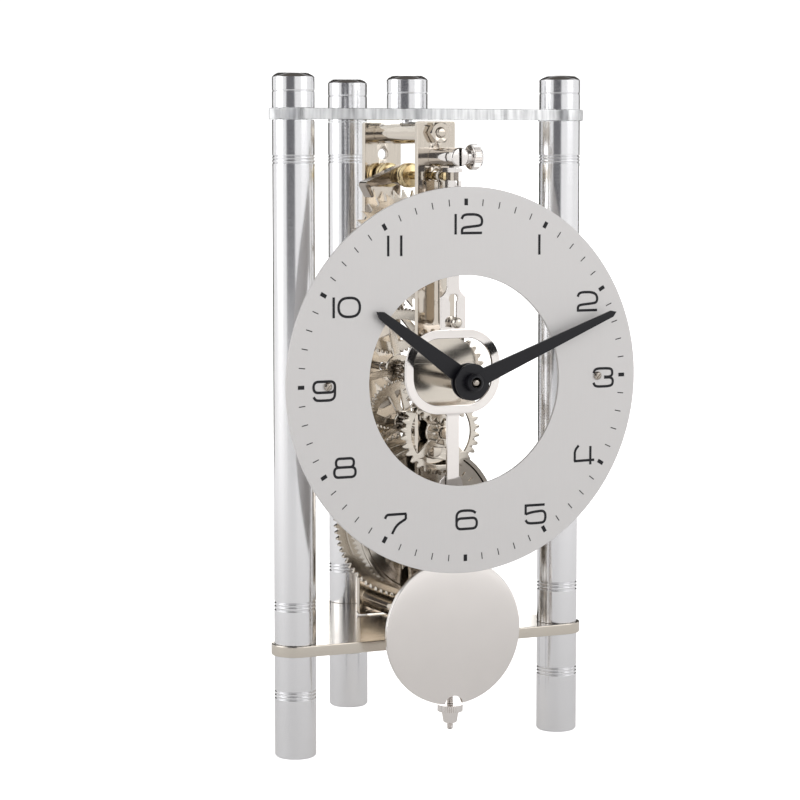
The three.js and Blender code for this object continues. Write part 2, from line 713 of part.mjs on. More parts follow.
function crutch() {
  const outline = new THREE.Shape();
  const z = axis.anchor;
  outline.absarc(0, z, 2.3, -Math.PI * 0.3, Math.PI * 1.3, false);
  outline.lineTo(-1.35, crutchPinZ);
  outline.absarc(0, crutchPinZ, 1.35, Math.PI, Math.PI * 2, false);
  outline.closePath();
  outline.holes.push(circlePath(0, z, arborRadius + gap));
  const arm = slab(outline, -9.5, 1, 5);
  const pin = turnedY([
    [0, -9], [0.9, -9], [0.9, -13.4], [1.8, -13.4], [1.8, -14.6], [0.7, -14.6], [0.7, -16.4],
    [1.6, -17], [1.6, -18.4], [1.1, -19.2], [0, -19.4],
  ].reverse(), 0, crutchPinZ, 14);
  return join(arm, pin);
}

add('anchor_arbor', anchorArbor(), brass);
add('anchor', anchor(), blueSteel);
add('crutch', crutch(), nickel);

// ---------------------------------------------------------------- motion work and hands
const pipe = { cannonBore: 1.5, cannon: 2.1, hourBore: 2.4, hour: 3 };

function cannonPinion() {
  const leaves = gearShape(teeth.cannon, cannonPitch, axis.centre, gapDown(teeth.cannon));
  leaves.holes.push(circlePath(0, axis.centre, pipe.cannonBore));
  const tube = turnedY([
    [pipe.cannonBore, -30.2], [pipe.cannon, -30.2], [pipe.cannon, -6], [pipe.cannonBore, -6],
    [pipe.cannonBore, -30.2],
  ], 0, axis.centre, 14);
  return join(slab(leaves, -8.2, 2, 4), tube);
}

function minuteWheel() {
  const outline = gearShape(teeth.minuteWheel, minuteWheelPitch, axis.minuteWheel, towardsTop);
  addWindows(outline, axis.minuteWheel, 4.6, 9.6, 4, 2, Math.PI / 4);
  const bore = minutePost.radius + gap;
  outline.holes.push(circlePath(0, axis.minuteWheel, bore));
  const leaves = gearShape(teeth.minutePinion, minutePinionPitch, axis.minuteWheel, towardsTop);
  leaves.holes.push(circlePath(0, axis.minuteWheel, bore));
  return join(slab(outline, -8, 1, 5), slab(leaves, -10.4, 2.5, 5));
}

function hourWheel() {
  const outline = gearShape(teeth.hour, hourPitch, axis.centre, gapDown(teeth.hour));
  outline.holes.push(circlePath(0, axis.centre, pipe.hourBore));
  const tube = turnedY([
    [pipe.hourBore, -26.2], [pipe.hour, -26.2], [pipe.hour, -9], [pipe.hourBore, -9],
    [pipe.hourBore, -26.2],
  ], 0, axis.centre, 16);
  return join(slab(outline, -10, 1, 5), tube);
}

// A tapered hand with a round boss and a short point, laid along +X and turned clockwise from 12.
function hand({ length, rootWidth, tipWidth, frontY, angle }, bore) {
  const point = tipWidth * 0.75;
  const start = Math.asin(rootWidth / 2 / handBossRadius);
  const outline = new THREE.Shape();
  outline.absarc(0, 0, handBossRadius, start, Math.PI * 2 - start, false);
  outline.lineTo(length - point, -tipWidth / 2);
  outline.lineTo(length, 0);
  outline.lineTo(length - point, tipWidth / 2);
  outline.closePath();
  outline.holes.push(circlePath(0, 0, bore));
  const geometry = slab(outline, frontY, handThickness, 8);
  geometry.rotateY(THREE.MathUtils.degToRad(angle - 90));
  geometry.translate(0, 0, axis.centre);
  return geometry;
}

function handNut() {
  return turnedY([
    [1.5, -30.9], [2, -30.7], [2.5, -30.3], [2.5, -28.8], [2.4, -28.8], [2.4, -30.4], [1.5, -30.5],
    [1.5, -30.9],
  ], 0, axis.centre, 12);
}

add('cannon_pinion', cannonPinion(), steel);
add('minute_wheel', minuteWheel(), nickel);
add('hour_wheel', hourWheel(), nickel);
add('hour_hand', hand(hourHand, pipe.hour + gap + 0.15), black);
add('minute_hand', hand(minuteHand, pipe.cannon + gap), black);
add('hand_nut', handNut(), black);

// ---------------------------------------------------------------- suspension
const blade = { half: 0.12, frontY: -18.9, backY: -11.1, low: 163.2, high: 168 };
function suspensionStud() {
  const turned = turnedY([
    [0, suspension.frontY], [suspension.radius - 0.3, suspension.frontY],
    [suspension.radius, suspension.frontY + 0.3], [suspension.radius, movement.frontY - gap],
    [1.6, movement.frontY - gap], [1.6, frontPlateBack + 0.6], [0, frontPlateBack + 0.6],
  ], 0, suspension.z, 14);
  const slot = block([-0.5, 0.5], [suspension.frontY - 1, -12.5], [suspension.z - 4, suspension.z + 4]);
  const screwHole = turnedX([[0, -3.2], [1.4, -3.2], [1.4, 3.2], [0, 3.2]],
    suspension.screwY, suspension.z, 12);
  return cut(turned, slot, screwHole);
}

function thumbScrew() {
  return turnedX([
    [0, -2.4], [1.1, -2.4], [1.1, 3.1], [2, 3.1], [2, 4.4], [3.4, 4.4], [3.65, 4.7], [3.65, 6.6],
    [3, 7.4], [0, 8],
  ], suspension.screwY, suspension.z, 14);
}

function suspensionTopClamp() {
  const body = block([-1.1, 1.1], [-19.3, -10.7], [166.9, suspension.z - suspension.radius - gap]);
  const tongue = block([-0.2, 0.2], [-19.3, -13.2], [168, 173.2]);
  const screwHole = turnedX([[0, -1], [1.4, -1], [1.4, 1], [0, 1]], suspension.screwY, suspension.z, 12);
  const bladeSlot = block([-blade.half - gap, blade.half + gap],
    [blade.frontY - gap, blade.backY + gap], [166, blade.high + 0.15]);
  return cut(join(body, tongue), screwHole, bladeSlot);
}

function suspensionBlades() {
  const sheet = block([-blade.half, blade.half], [blade.frontY, blade.backY], [blade.low, blade.high]);
  const window = block([-1, 1], [-16.2, -13.8], [164.3, 167.1]);
  return cut(sheet, window);
}

function suspensionBottomClamp() {
  const body = block([-1.1, 1.1], [-18.6, -12.4], [162, 164.6]);
  const bladeSlot = block([-blade.half - gap, blade.half + gap], [blade.frontY - 1, blade.backY + 1],
    [blade.low - gap, 165]);
  const notch = block([-2, 2], [leader.frontY - gap, leader.frontY + leader.thickness + gap],
    [161, leader.topZ + gap]);
  return cut(body, bladeSlot, notch);
}

add('suspension_stud', suspensionStud(), nickel);
add('thumb_screw', thumbScrew(), nickel);
add('suspension_clamp_top', suspensionTopClamp(), nickel);
add('suspension_blades', suspensionBlades(), blueSteel);
add('suspension_clamp_bottom', suspensionBottomClamp(), nickel);

// ---------------------------------------------------------------- pendulum
function leaderStrip() {
  const { stripHalf, headHalf, topZ } = leader;
  const ringTop = ring.centreZ + ring.height / 2;
  const ringBottom = ring.centreZ - ring.height / 2;
  const shoulder = 1.6;
  const head = { top: 133, bottom: ringTop - 1 };
  const upper = new THREE.Shape();
  upper.moveTo(-stripHalf, topZ);
  upper.lineTo(-stripHalf, head.top + shoulder);
  upper.quadraticCurveTo(-stripHalf, head.top, -headHalf, head.top - shoulder);
  upper.lineTo(-headHalf, head.bottom);
  upper.lineTo(headHalf, head.bottom);
  upper.lineTo(headHalf, head.top - shoulder);
  upper.quadraticCurveTo(stripHalf, head.top, stripHalf, head.top + shoulder);
  upper.lineTo(stripHalf, topZ);
  upper.closePath();
  const keyhole = new THREE.Path();
  const slotHalf = 1.05;
  const eye = { z: 130.9, radius: 1.45 };
  const mouth = Math.acos(slotHalf / eye.radius);
  keyhole.absarc(0, eye.z, eye.radius, -mouth, Math.PI + mouth, false);
  keyhole.lineTo(-slotHalf, crutchPinZ);
  keyhole.absarc(0, crutchPinZ, slotHalf, Math.PI, Math.PI * 2, false);
  keyhole.closePath();
  upper.holes.push(keyhole);
  const loop = roundedRectangle(new THREE.Shape(), 0, ring.centreZ, ring.width, ring.height, ring.corner);
  loop.holes.push(roundedRectangle(
    new THREE.Path(), 0, ring.centreZ, ring.innerWidth, ring.innerHeight, ring.innerCorner));
  const lowerEnd = hanger.top - 8;
  const lower = new THREE.Shape([
    [-1.9, lowerEnd], [1.9, lowerEnd], [1.9, ringBottom + 1], [-1.9, ringBottom + 1],
  ].map(([x, z]) => new THREE.Vector2(x, z)));
  const strips = [upper, loop, lower].map((shape) => slab(shape, leader.frontY, leader.thickness, 4));
  const hookEnd = hanger.frontY + hanger.thickness + 0.4;
  const hook = rodAlongY(0.8, leader.frontY + 0.5, hookEnd, 0, hanger.top - 5.6, 12);
  return join(...strips, hook);
}

const hanger = { frontY: -14.7, thickness: 1, top: 80.7, half: 3.75, bottom: 40, rodBottom: 5.7 };
function bobHanger() {
  const { half, top, bottom } = hanger;
  const outline = new THREE.Shape();
  outline.moveTo(-half, bottom + 2);
  outline.lineTo(-half + 2, bottom);
  outline.lineTo(half - 2, bottom);
  outline.lineTo(half, bottom + 2);
  outline.lineTo(half, top - half);
  outline.absarc(0, top - half, half, 0, Math.PI, false);
  outline.closePath();
  outline.holes.push(roundedRectangle(new THREE.Path(), 0, top - 5.6, 2.2, 4.4, 1.05));
  const strip = slab(outline, hanger.frontY, hanger.thickness, 5);
  const rod = rodAlongZ(rodRadius, hanger.rodBottom, bottom + 2, 0, rodY, 12);
  return join(strip, rod);
}

function bobDisc() {
  const front = bob.backY - bob.edge;
  const body = turnedY([
    [0, front - bob.dome], [bob.radius * 0.5, front - bob.dome * 0.75], [bob.radius - 0.5, front],
    [bob.radius, front + 0.3], [bob.radius, bob.backY], [0, bob.backY],
  ], 0, bob.centreZ, 36);
  const low = bob.centreZ - bob.radius;
  const arch = new THREE.Shape();
  arch.moveTo(-2.75, low - 1);
  arch.lineTo(2.75, low - 1);
  arch.absellipse(0, low + 0.4, 2.75, 2.2, 0, Math.PI, false);
  arch.closePath();
  const notch = slab(arch, bob.backY - 4, 6, 8);
  const lugs = [-1, 1].map((side) => {
    const near = side * (hanger.half + gap);
    const far = side * (hanger.half + gap + 1.4);
    return block([Math.min(near, far), Math.max(near, far)], [bob.backY - 0.5, -13.4], [45, 52]);
  });
  return cut(join(body, ...lugs), notch);
}

function ratingNut() {
  const bore = rodRadius + gap;
  return turnedZ([
    [bore, 7.8], [1.9, 7.8], [2.6, 11.1], [3.7, 11.1], [3.7, 13.1], [bore, 13.1], [bore, 7.8],
  ], 0, rodY, 14);
}

add('pendulum_leader', leaderStrip(), nickel);
add('bob_hanger', bobHanger(), nickel);
add('bob', bobDisc(), nickel);
add('rating_nut', ratingNut(), nickel);

export default clock;
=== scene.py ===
import json
import math

import bmesh
import bpy
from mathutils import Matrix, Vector
from mathutils.geometry import tessellate_polygon


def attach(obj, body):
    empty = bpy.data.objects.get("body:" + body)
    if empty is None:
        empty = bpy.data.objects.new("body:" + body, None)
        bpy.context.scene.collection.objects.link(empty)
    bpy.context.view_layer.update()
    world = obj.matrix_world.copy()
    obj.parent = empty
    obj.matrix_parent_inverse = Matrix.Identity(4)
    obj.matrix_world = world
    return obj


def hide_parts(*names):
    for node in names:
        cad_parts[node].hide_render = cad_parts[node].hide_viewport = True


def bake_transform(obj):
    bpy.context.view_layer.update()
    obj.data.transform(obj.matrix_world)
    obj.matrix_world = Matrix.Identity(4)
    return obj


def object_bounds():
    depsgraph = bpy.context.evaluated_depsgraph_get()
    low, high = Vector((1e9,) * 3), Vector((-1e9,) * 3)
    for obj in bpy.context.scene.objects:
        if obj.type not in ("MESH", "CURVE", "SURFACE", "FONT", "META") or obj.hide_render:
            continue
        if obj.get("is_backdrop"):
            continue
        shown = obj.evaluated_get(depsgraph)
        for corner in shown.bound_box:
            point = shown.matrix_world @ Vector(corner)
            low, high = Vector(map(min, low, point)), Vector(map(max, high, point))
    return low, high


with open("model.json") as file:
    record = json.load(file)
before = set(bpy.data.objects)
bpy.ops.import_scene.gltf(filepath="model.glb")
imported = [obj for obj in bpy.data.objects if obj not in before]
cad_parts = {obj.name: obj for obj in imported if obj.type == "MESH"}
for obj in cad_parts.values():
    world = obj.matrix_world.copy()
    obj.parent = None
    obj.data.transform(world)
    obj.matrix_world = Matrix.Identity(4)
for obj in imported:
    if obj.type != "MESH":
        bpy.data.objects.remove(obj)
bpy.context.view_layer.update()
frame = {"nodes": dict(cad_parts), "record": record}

# Sizes below are millimetres in the clock's own frame: X = 0 is the middle of the dial, the front columns
# stand at Y = 0 and the feet end at Z = -1. to_row() turns them into metres in the CAD row's frame.
MM = 0.001
FOOT_Z = -1
ROW_SHIFT_Y = -17.2


def to_row(x, y, z):
    return Vector((x * MM, (y + ROW_SHIFT_Y) * MM, (z - FOOT_Z) * MM))


# ---------------------------------------------------------------- driving dimensions
COLUMN_RADIUS = 6
FRONT_X = 42.65
BACK_Y = 58.5
CAP_Y = 15.2
BOTTOM_PLATE = (28.9, 32.1)
TOP_PLATE = (181.8, 185.0)
TOP = 195
STUD = 2
CAP_SCREW = 1.5
STUD_DEPTH = 12
CENTRE_Z = 108
DIAL = {"outer": 55, "inner": 30, "front": -23.9, "back": -22.9}
FRONT_PLATE = (-4.6, -2.6)
BACK_PLATE = (32.3, 34.3)
PLATE_Z = (32.4, 181.5)
PILLARS = {"top": 178.2, "bottom": 35.7}
PIVOT_END = 34.6
WINDING_PLANE = (-6.1, -5)
NUT_THICKNESS = 2.6
AXIS = {
    "barrel": 65, "minute": 91.8, "intermediate": 92.5, "centre": 108,
    "third": 127.5, "escape": 144, "anchor": 165.8,
}
COLUMNS = {
    "front_left": (-FRONT_X, 0), "front_right": (FRONT_X, 0), "back": (0, BACK_Y),
}


# ---------------------------------------------------------------- outlines
def unit(x, y):
    length = math.hypot(x, y) or 1
    return x / length, y / length


def polar(cx, cy, radius, angle):
    return cx + radius * math.cos(angle), cy + radius * math.sin(angle)


def arc(cx, cy, radius, start, end, steps):
    """Points along an arc, both ends included. Angles are in degrees."""
    return [
        polar(cx, cy, radius, math.radians(start + (end - start) * i / steps))
        for i in range(steps + 1)
    ]


def circle(cx, cy, radius, steps=48):
    return arc(cx, cy, radius, 0, 360, steps)[:-1]


def curve(start, control, end, steps):
    """A quadratic curve from start to end, both ends included."""
    points = []
    for i in range(steps + 1):
        t = i / steps
        points.append(tuple(
            (1 - t) ** 2 * a + 2 * t * (1 - t) * b + t * t * c
            for a, b, c in zip(start, control, end)
        ))
    return points


def rectangle(x0, x1, y0, y1):
    return [(x0, y0), (x1, y0), (x1, y1), (x0, y1)]


def soften(points, size, steps=3, loop=True, least_turn=20, share=0.4):
    """Rounds the corners of a line of points that turn by more than least_turn degrees, each over at most
    a share of the lines beside it."""
    out = []
    for i, p in enumerate(points):
        if not loop and i in (0, len(points) - 1):
            out.append(p)
            continue
        before, after = points[i - 1], points[(i + 1) % len(points)]
        ax, ay = before[0] - p[0], before[1] - p[1]
        bx, by = after[0] - p[0], after[1] - p[1]
        la, lb = math.hypot(ax, ay), math.hypot(bx, by)
        if la < 1e-6 or lb < 1e-6:
            continue
        cosine = -(ax * bx + ay * by) / (la * lb)
        if math.degrees(math.acos(max(-1, min(1, cosine)))) < least_turn:
            out.append(p)
            continue
        cut_a, cut_b = min(size, la * share), min(size, lb * share)
        first = (p[0] + ax / la * cut_a, p[1] + ay / la * cut_a)
        last = (p[0] + bx / lb * cut_b, p[1] + by / lb * cut_b)
        out.extend(curve(first, p, last, steps))
    return out


def area(loop):
    return sum(
        a[0] * b[1] - b[0] * a[1] for a, b in zip(loop, loop[1:] + loop[:1])
    ) / 2


def turned_left(loop, positive):
    return list(loop) if (area(loop) > 0) == positive else list(reversed(loop))


def inset(loop, distance):
    """Moves a loop to its left by distance."""
    out = []
    for i, p in enumerate(loop):
        before, after = loop[i - 1], loop[(i + 1) % len(loop)]
        ux, uy = unit(p[0] - before[0], p[1] - before[1])
        vx, vy = unit(after[0] - p[0], after[1] - p[1])
        scale = distance / max(0.4, 1 + ux * vx + uy * vy)
        out.append((p[0] - (uy + vy) * scale, p[1] + (ux + vx) * scale))
    return out


def gear_loop(count, pitch_radius, cz, start=90.0, tall=0.5, deep=1.25):
    """Clock teeth with rounded tips and a flat root. The first tooth stands at start degrees."""
    module = 2 * pitch_radius / count
    pitch = 360 / count
    root = pitch_radius - deep * module
    profile = [
        (-0.5, root), (-0.36, root + 0.06 * module), (-0.25, pitch_radius - 0.4 * module),
        (-0.2, pitch_radius), (-0.12, pitch_radius + 0.72 * tall * module),
        (-0.045, pitch_radius + tall * module), (0.045, pitch_radius + tall * module),
        (0.12, pitch_radius + 0.72 * tall * module), (0.2, pitch_radius),
        (0.25, pitch_radius - 0.4 * module), (0.36, root + 0.06 * module),
    ]
    return [
        polar(0, cz, radius, math.radians(start + (i + share) * pitch))
        for i in range(count)
        for share, radius in profile
    ]


def gap_down(count):
    return -90 + 180 / count


def saw_loop(count, tip, root, cz, start):
    pitch = 360 / count
    loop = []
    for i in range(count):
        middle = start + i * pitch
        loop.append(polar(0, cz, tip, math.radians(middle)))
        loop.append(polar(0, cz, (tip + root) / 2 - 0.2, math.radians(middle + pitch * 0.04)))
        loop.append(polar(0, cz, root, math.radians(middle + pitch * 0.12)))
        loop.append(polar(0, cz, root + 0.05, math.radians(middle + pitch * 0.45)))
    return loop


def windows(cz, inner, outer, count, spoke, turn):
    """Openings between a wheel's spokes, with rounded corners."""
    loops = []
    for i in range(count):
        middle = math.degrees(turn) + (i + 0.5) * 360 / count
        half_out = 180 / count - math.degrees(spoke / 2 / outer)
        half_in = 180 / count - math.degrees(spoke / 2 / inner)
        raw = (arc(0, cz, inner, middle - half_in, middle + half_in, 8)
               + arc(0, cz, outer, middle + half_out, middle - half_out, 14))
        loops.append(soften(raw, 1.1, 4))
    return loops


# ---------------------------------------------------------------- solids: (vertices, faces) in millimetres
PLANES = {
    "xz": lambda u, v, w: (u, w, v),  # flat pieces whose thickness runs along Y
    "xy": lambda u, v, w: (u, v, w),  # flat pieces whose thickness runs along Z
    "yz": lambda u, v, w: (w, u, v),  # flat pieces whose thickness runs along X
}


def slab(outline, low, high, holes=(), soft=0.15, plane="xz"):
    """A flat piece between low and high with rounded edges all round its outline and holes."""
    soft = min(soft, (high - low) * 0.45)
    layers = [
        (soft, low), (soft * 0.3, low + soft * 0.3), (0, low + soft),
        (0, high - soft), (soft * 0.3, high - soft * 0.3), (soft, high),
    ]
    loops = [turned_left(outline, True)] + [turned_left(h, False) for h in holes]
    place = PLANES[plane]
    vertices, faces = [], []
    ends = {0: [], len(layers) - 1: []}
    for loop in loops:
        base = len(vertices)
        n = len(loop)
        for k, (distance, height) in enumerate(layers):
            moved = inset(loop, distance) if distance else loop
            if k in ends:
                ends[k].append((base + k * n, moved))
            vertices.extend(place(u, v, height) for u, v in moved)
        for k in range(len(layers) - 1):
            for i in range(n):
                j = (i + 1) % n
                faces.append((base + k * n + i, base + k * n + j,
                              base + (k + 1) * n + j, base + (k + 1) * n + i))
    for k, rings in ends.items():
        where = [first + i for first, ring in rings for i in range(len(ring))]
        flat = [[Vector((u, v, 0)) for u, v in ring] for _, ring in rings]
        for a, b, c in tessellate_polygon(flat):
            faces.append((where[a], where[b], where[c]))
    return vertices, faces


AXES = {
    "x": lambda r, a, c, s, p, q: (a, p + r * c, q + r * s),
    "y": lambda r, a, c, s, p, q: (p + r * c, a, q + r * s),
    "z": lambda r, a, c, s, p, q: (p + r * c, q + r * s, a),
}


def lathe(profile, axis, p, q, soft=0.15, steps=64):
    """A turned piece. The profile holds (radius, distance along the axis) and starts and ends on the axis,
    or closes on itself. p and q place the axis in the other two directions."""
    solid = profile[0][0] == 0 and profile[-1][0] == 0
    if soft:
        profile = soften(profile, soft, 3, loop=not solid)
    place = AXES[axis]
    vertices, rings = [], []
    for radius, along in profile:
        if radius == 0:
            rings.append([len(vertices)] * steps)
            vertices.append(place(0, along, 1, 0, p, q))
            continue
        rings.append(list(range(len(vertices), len(vertices) + steps)))
        for i in range(steps):
            angle = 2 * math.pi * i / steps
            vertices.append(place(radius, along, math.cos(angle), math.sin(angle), p, q))
    pairs = list(zip(rings, rings[1:]))
    if not solid:
        pairs.append((rings[-1], rings[0]))
    faces = []
    for one, two in pairs:
        for i in range(steps):
            j = (i + 1) % steps
            corners = []
            for v in (one[i], one[j], two[j], two[i]):
                if v not in corners:
                    corners.append(v)
            if len(corners) > 2:
                faces.append(tuple(corners))
    return vertices, faces


def rod(axis, radius, low, high, p, q, soft=0.1, steps=32):
    return lathe([(0, low), (radius, low), (radius, high), (0, high)], axis, p, q, soft, steps)


def tube(axis, bore, radius, low, high, p, q, soft=0.1, steps=48):
    profile = [(bore, low), (radius, low), (radius, high), (bore, high)]
    return lathe(profile, axis, p, q, soft, steps)


def block(x, y, z, soft=0.12):
    return slab(rectangle(*x, *z), y[0], y[1], soft=soft)


def grooved(radius, low, high, grooves, depth=0.28, half=0.26):
    """The side of a bar with narrow turned grooves, as profile points from low to high."""
    points = [(radius, low)]
    for z in sorted(grooves):
        points += [(radius, z - half), (radius - depth, z - half * 0.35),
                   (radius - depth, z + half * 0.35), (radius, z + half)]
    return points + [(radius, high)]


# ---------------------------------------------------------------- materials
def shader(name, colour, metallic, roughness, **sockets):
    material = bpy.data.materials.new(name)
    material.use_nodes = True
    bsdf = material.node_tree.nodes["Principled BSDF"]
    bsdf.inputs["Base Color"].default_value = (*colour, 1)
    bsdf.inputs["Metallic"].default_value = metallic
    bsdf.inputs["Roughness"].default_value = roughness
    for socket, value in sockets.items():
        bsdf.inputs[socket.replace("_", " ")].default_value = value
    return material, bsdf


def add_grain(material, bsdf, stretch, bump, colour, spread, rough):
    """Fine grain: stretch is how many grains there are per metre along X, Y and Z. The grain moves the
    roughness between the two values of rough, tints the colour by spread and raises the surface."""
    nodes, links = material.node_tree.nodes, material.node_tree.links
    coordinates = nodes.new("ShaderNodeTexCoord")
    mapping = nodes.new("ShaderNodeMapping")
    mapping.inputs["Scale"].default_value = stretch
    noise = nodes.new("ShaderNodeTexNoise")
    noise.inputs["Scale"].default_value = 1
    noise.inputs["Detail"].default_value = 3
    links.new(coordinates.outputs["Object"], mapping.inputs["Vector"])
    links.new(mapping.outputs["Vector"], noise.inputs["Vector"])
    roughness = nodes.new("ShaderNodeMapRange")
    roughness.inputs["From Min"].default_value = 0.3
    roughness.inputs["From Max"].default_value = 0.7
    roughness.inputs["To Min"].default_value = rough[0]
    roughness.inputs["To Max"].default_value = rough[1]
    links.new(noise.outputs["Fac"], roughness.inputs["Value"])
    links.new(roughness.outputs["Result"], bsdf.inputs["Roughness"])
    ramp = nodes.new("ShaderNodeValToRGB")
    ramp.color_ramp.elements[0].position = 0.3
    ramp.color_ramp.elements[1].position = 0.7
    ramp.color_ramp.elements[0].color = (*(c * (1 - spread) for c in colour), 1)
    ramp.color_ramp.elements[1].color = (*(min(1, c * (1 + spread)) for c in colour), 1)
    links.new(noise.outputs["Fac"], ramp.inputs["Fac"])
    links.new(ramp.outputs["Color"], bsdf.inputs["Base Color"])
    relief = nodes.new("ShaderNodeBump")
    relief.inputs["Strength"].default_value = bump
    relief.inputs["Distance"].default_value = 0.00004
    links.new(noise.outputs["Fac"], relief.inputs["Height"])
    links.new(relief.outputs["Normal"], bsdf.inputs["Normal"])


FINISHES = {
    # slot: colour, metallic, roughness range, grain per metre, bump, colour spread
    "aluminium_turned": ((0.83, 0.83, 0.845), 1, (0.15, 0.22), (40, 40, 9000), 0.05, 0.015),
    "polished_nickel": ((0.84, 0.805, 0.78), 1, (0.08, 0.13), (160, 160, 160), 0.015, 0.01),
    "nickel_plates": ((0.66, 0.60, 0.525), 1, (0.07, 0.11), (2400, 160, 160), 0.02, 0.015),
    "nickel_wheels": ((0.67, 0.62, 0.55), 1, (0.14, 0.2), (7000, 7000, 3000), 0.02, 0.012),
    "satin_silver": ((0.67, 0.655, 0.65), 0.3, (0.4, 0.52), (5200, 300, 160), 0.05, 0.012),
    "brass": ((0.72, 0.58, 0.34), 1, (0.16, 0.24), (300, 300, 1400), 0.03, 0.03),
    "steel": ((0.43, 0.39, 0.345), 1, (0.08, 0.14), (900, 4000, 900), 0.03, 0.03),
    "blued_steel": ((0.33, 0.29, 0.25), 1, (0.1, 0.16), (160, 900, 160), 0.02, 0.04),
    "black_paint": ((0.008, 0.008, 0.011), 0, (0.34, 0.46), (3000, 3000, 3000), 0.03, 0.1),
}
MATERIALS = {}
for slot_name, (tint, metal, rough, grain, bump, spread) in FINISHES.items():
    made, surface = shader(slot_name, tint, metal, sum(rough) / 2)
    add_grain(made, surface, grain, bump, tint, spread, rough)
    MATERIALS[slot_name] = made
MATERIALS["black_paint"].node_tree.nodes["Principled BSDF"].inputs["Specular IOR Level"].default_value = 0.3
acrylic, acrylic_surface = shader(
    "clear_acrylic", (0.95, 0.97, 0.97), 0, 0.03, Transmission_Weight=1.0, IOR=1.49)
add_grain(acrylic, acrylic_surface, (90, 90, 90), 0.02, (0.93, 0.945, 0.945), 0.01, (0.02, 0.05))


def frost_sides(material, bsdf, clear, frosted):
    """Sawn edges: the roughness goes from clear on level faces to frosted on upright ones, in fine lines.
    The upright faces also get a painted shade: dark grey streaks in the same lines, mixed into their colour.
    """
    nodes, links = material.node_tree.nodes, material.node_tree.links
    coordinates = nodes.new("ShaderNodeTexCoord")
    parts = nodes.new("ShaderNodeSeparateXYZ")
    links.new(coordinates.outputs["Normal"], parts.inputs["Vector"])
    level = nodes.new("ShaderNodeMath")
    level.operation = "ABSOLUTE"
    links.new(parts.outputs["Z"], level.inputs[0])
    mapping = nodes.new("ShaderNodeMapping")
    mapping.inputs["Scale"].default_value = (500, 500, 60)
    links.new(coordinates.outputs["Object"], mapping.inputs["Vector"])
    lines = nodes.new("ShaderNodeTexNoise")
    lines.inputs["Scale"].default_value = 1
    links.new(mapping.outputs["Vector"], lines.inputs["Vector"])
    rough = nodes.new("ShaderNodeMapRange")
    rough.inputs["From Min"].default_value = 0.3
    rough.inputs["From Max"].default_value = 0.7
    rough.inputs["To Min"].default_value = frosted[0]
    rough.inputs["To Max"].default_value = frosted[1]
    links.new(lines.outputs["Fac"], rough.inputs["Value"])
    choice = nodes.new("ShaderNodeMapRange")
    choice.inputs["From Min"].default_value = 0.2
    choice.inputs["From Max"].default_value = 0.8
    choice.inputs["To Max"].default_value = clear
    links.new(level.outputs["Value"], choice.inputs["Value"])
    links.new(rough.outputs["Result"], choice.inputs["To Min"])
    links.new(choice.outputs["Result"], bsdf.inputs["Roughness"])
    # Painted shade: dark grey streaks in the colour of the upright edges, standing in for the darkness that
    # reflection and refraction give them
    painted_edge_shade = nodes.new("ShaderNodeValToRGB")
    painted_edge_shade.color_ramp.elements[0].position = 0.35
    painted_edge_shade.color_ramp.elements[1].position = 0.62
    painted_edge_shade.color_ramp.elements[0].color = (0.3, 0.3, 0.31, 1)
    painted_edge_shade.color_ramp.elements[1].color = (0.88, 0.885, 0.89, 1)
    links.new(lines.outputs["Fac"], painted_edge_shade.inputs["Fac"])
    edge_shade_mix = nodes.new("ShaderNodeMix")
    edge_shade_mix.data_type = "RGBA"
    links.new(level.outputs["Value"], edge_shade_mix.inputs["Factor"])
    links.new(painted_edge_shade.outputs["Color"], edge_shade_mix.inputs["A"])
    links.new(bsdf.inputs["Base Color"].links[0].from_socket, edge_shade_mix.inputs["B"])
    links.new(edge_shade_mix.outputs["Result"], bsdf.inputs["Base Color"])


frost_sides(acrylic, acrylic_surface, 0.03, (0.28, 0.5))
MATERIALS["clear_acrylic"] = acrylic


# ---------------------------------------------------------------- pieces
BODY_OF = {n: b for b, nodes in frame["record"]["behaviour"]["bodies"].items() for n in nodes}


def mesh_object(name, solid, sharp=32):
    vertices, faces = solid
    mesh = bpy.data.meshes.new(name)
    mesh.from_pydata([to_row(*v) for v in vertices], [], faces)
    obj = bpy.data.objects.new(name, mesh)
    bpy.context.scene.collection.objects.link(obj)
    even_normals(mesh)
    mesh.polygons.foreach_set("use_smooth", [True] * len(mesh.polygons))
    mesh.set_sharp_from_angle(angle=math.radians(sharp))
    return obj


def even_normals(mesh):
    work = bmesh.new()
    work.from_mesh(mesh)
    bmesh.ops.remove_doubles(work, verts=work.verts, dist=1e-7)
    bmesh.ops.recalc_face_normals(work, faces=work.faces)
    work.to_mesh(mesh)
    work.free()


def combined(name, base, joins=(), cuts=(), keeps=()):
    """One closed mesh: base with the solids of joins added, of cuts taken away and of keeps crossed."""
    obj = mesh_object(name, base)
    for operation, solids in (("UNION", joins), ("DIFFERENCE", cuts), ("INTERSECT", keeps)):
        for solid in solids:
            tool = mesh_object(f"{name}_tool", solid)
            modifier = obj.modifiers.new("cut", "BOOLEAN")
            modifier.operation = operation
            modifier.solver = "MANIFOLD"
            modifier.object = tool
            shaped = bpy.data.meshes.new_from_object(
                obj.evaluated_get(bpy.context.evaluated_depsgraph_get()))
            obj.modifiers.clear()
            obj.data = shaped
            bpy.data.objects.remove(tool)
    obj.data.polygons.foreach_set("use_smooth", [True] * len(obj.data.polygons))
    obj.data.set_sharp_from_angle(angle=math.radians(32))
    return obj


def finish_piece(obj, node, slot):
    """Stands for a CAD node: rides on its body and takes the slot's material."""
    obj.data.materials.clear()
    obj.data.materials.append(MATERIALS[slot])
    shading = obj.modifiers.new("flat_faces_stay_flat", "WEIGHTED_NORMAL")
    shading.weight = 100
    shading.keep_sharp = True
    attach(obj, BODY_OF[node])
    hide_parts(node)
    return obj


def piece(node, slot, base, joins=(), cuts=(), keeps=()):
    return finish_piece(combined(f"{node}_look", base, joins, cuts, keeps), node, slot)


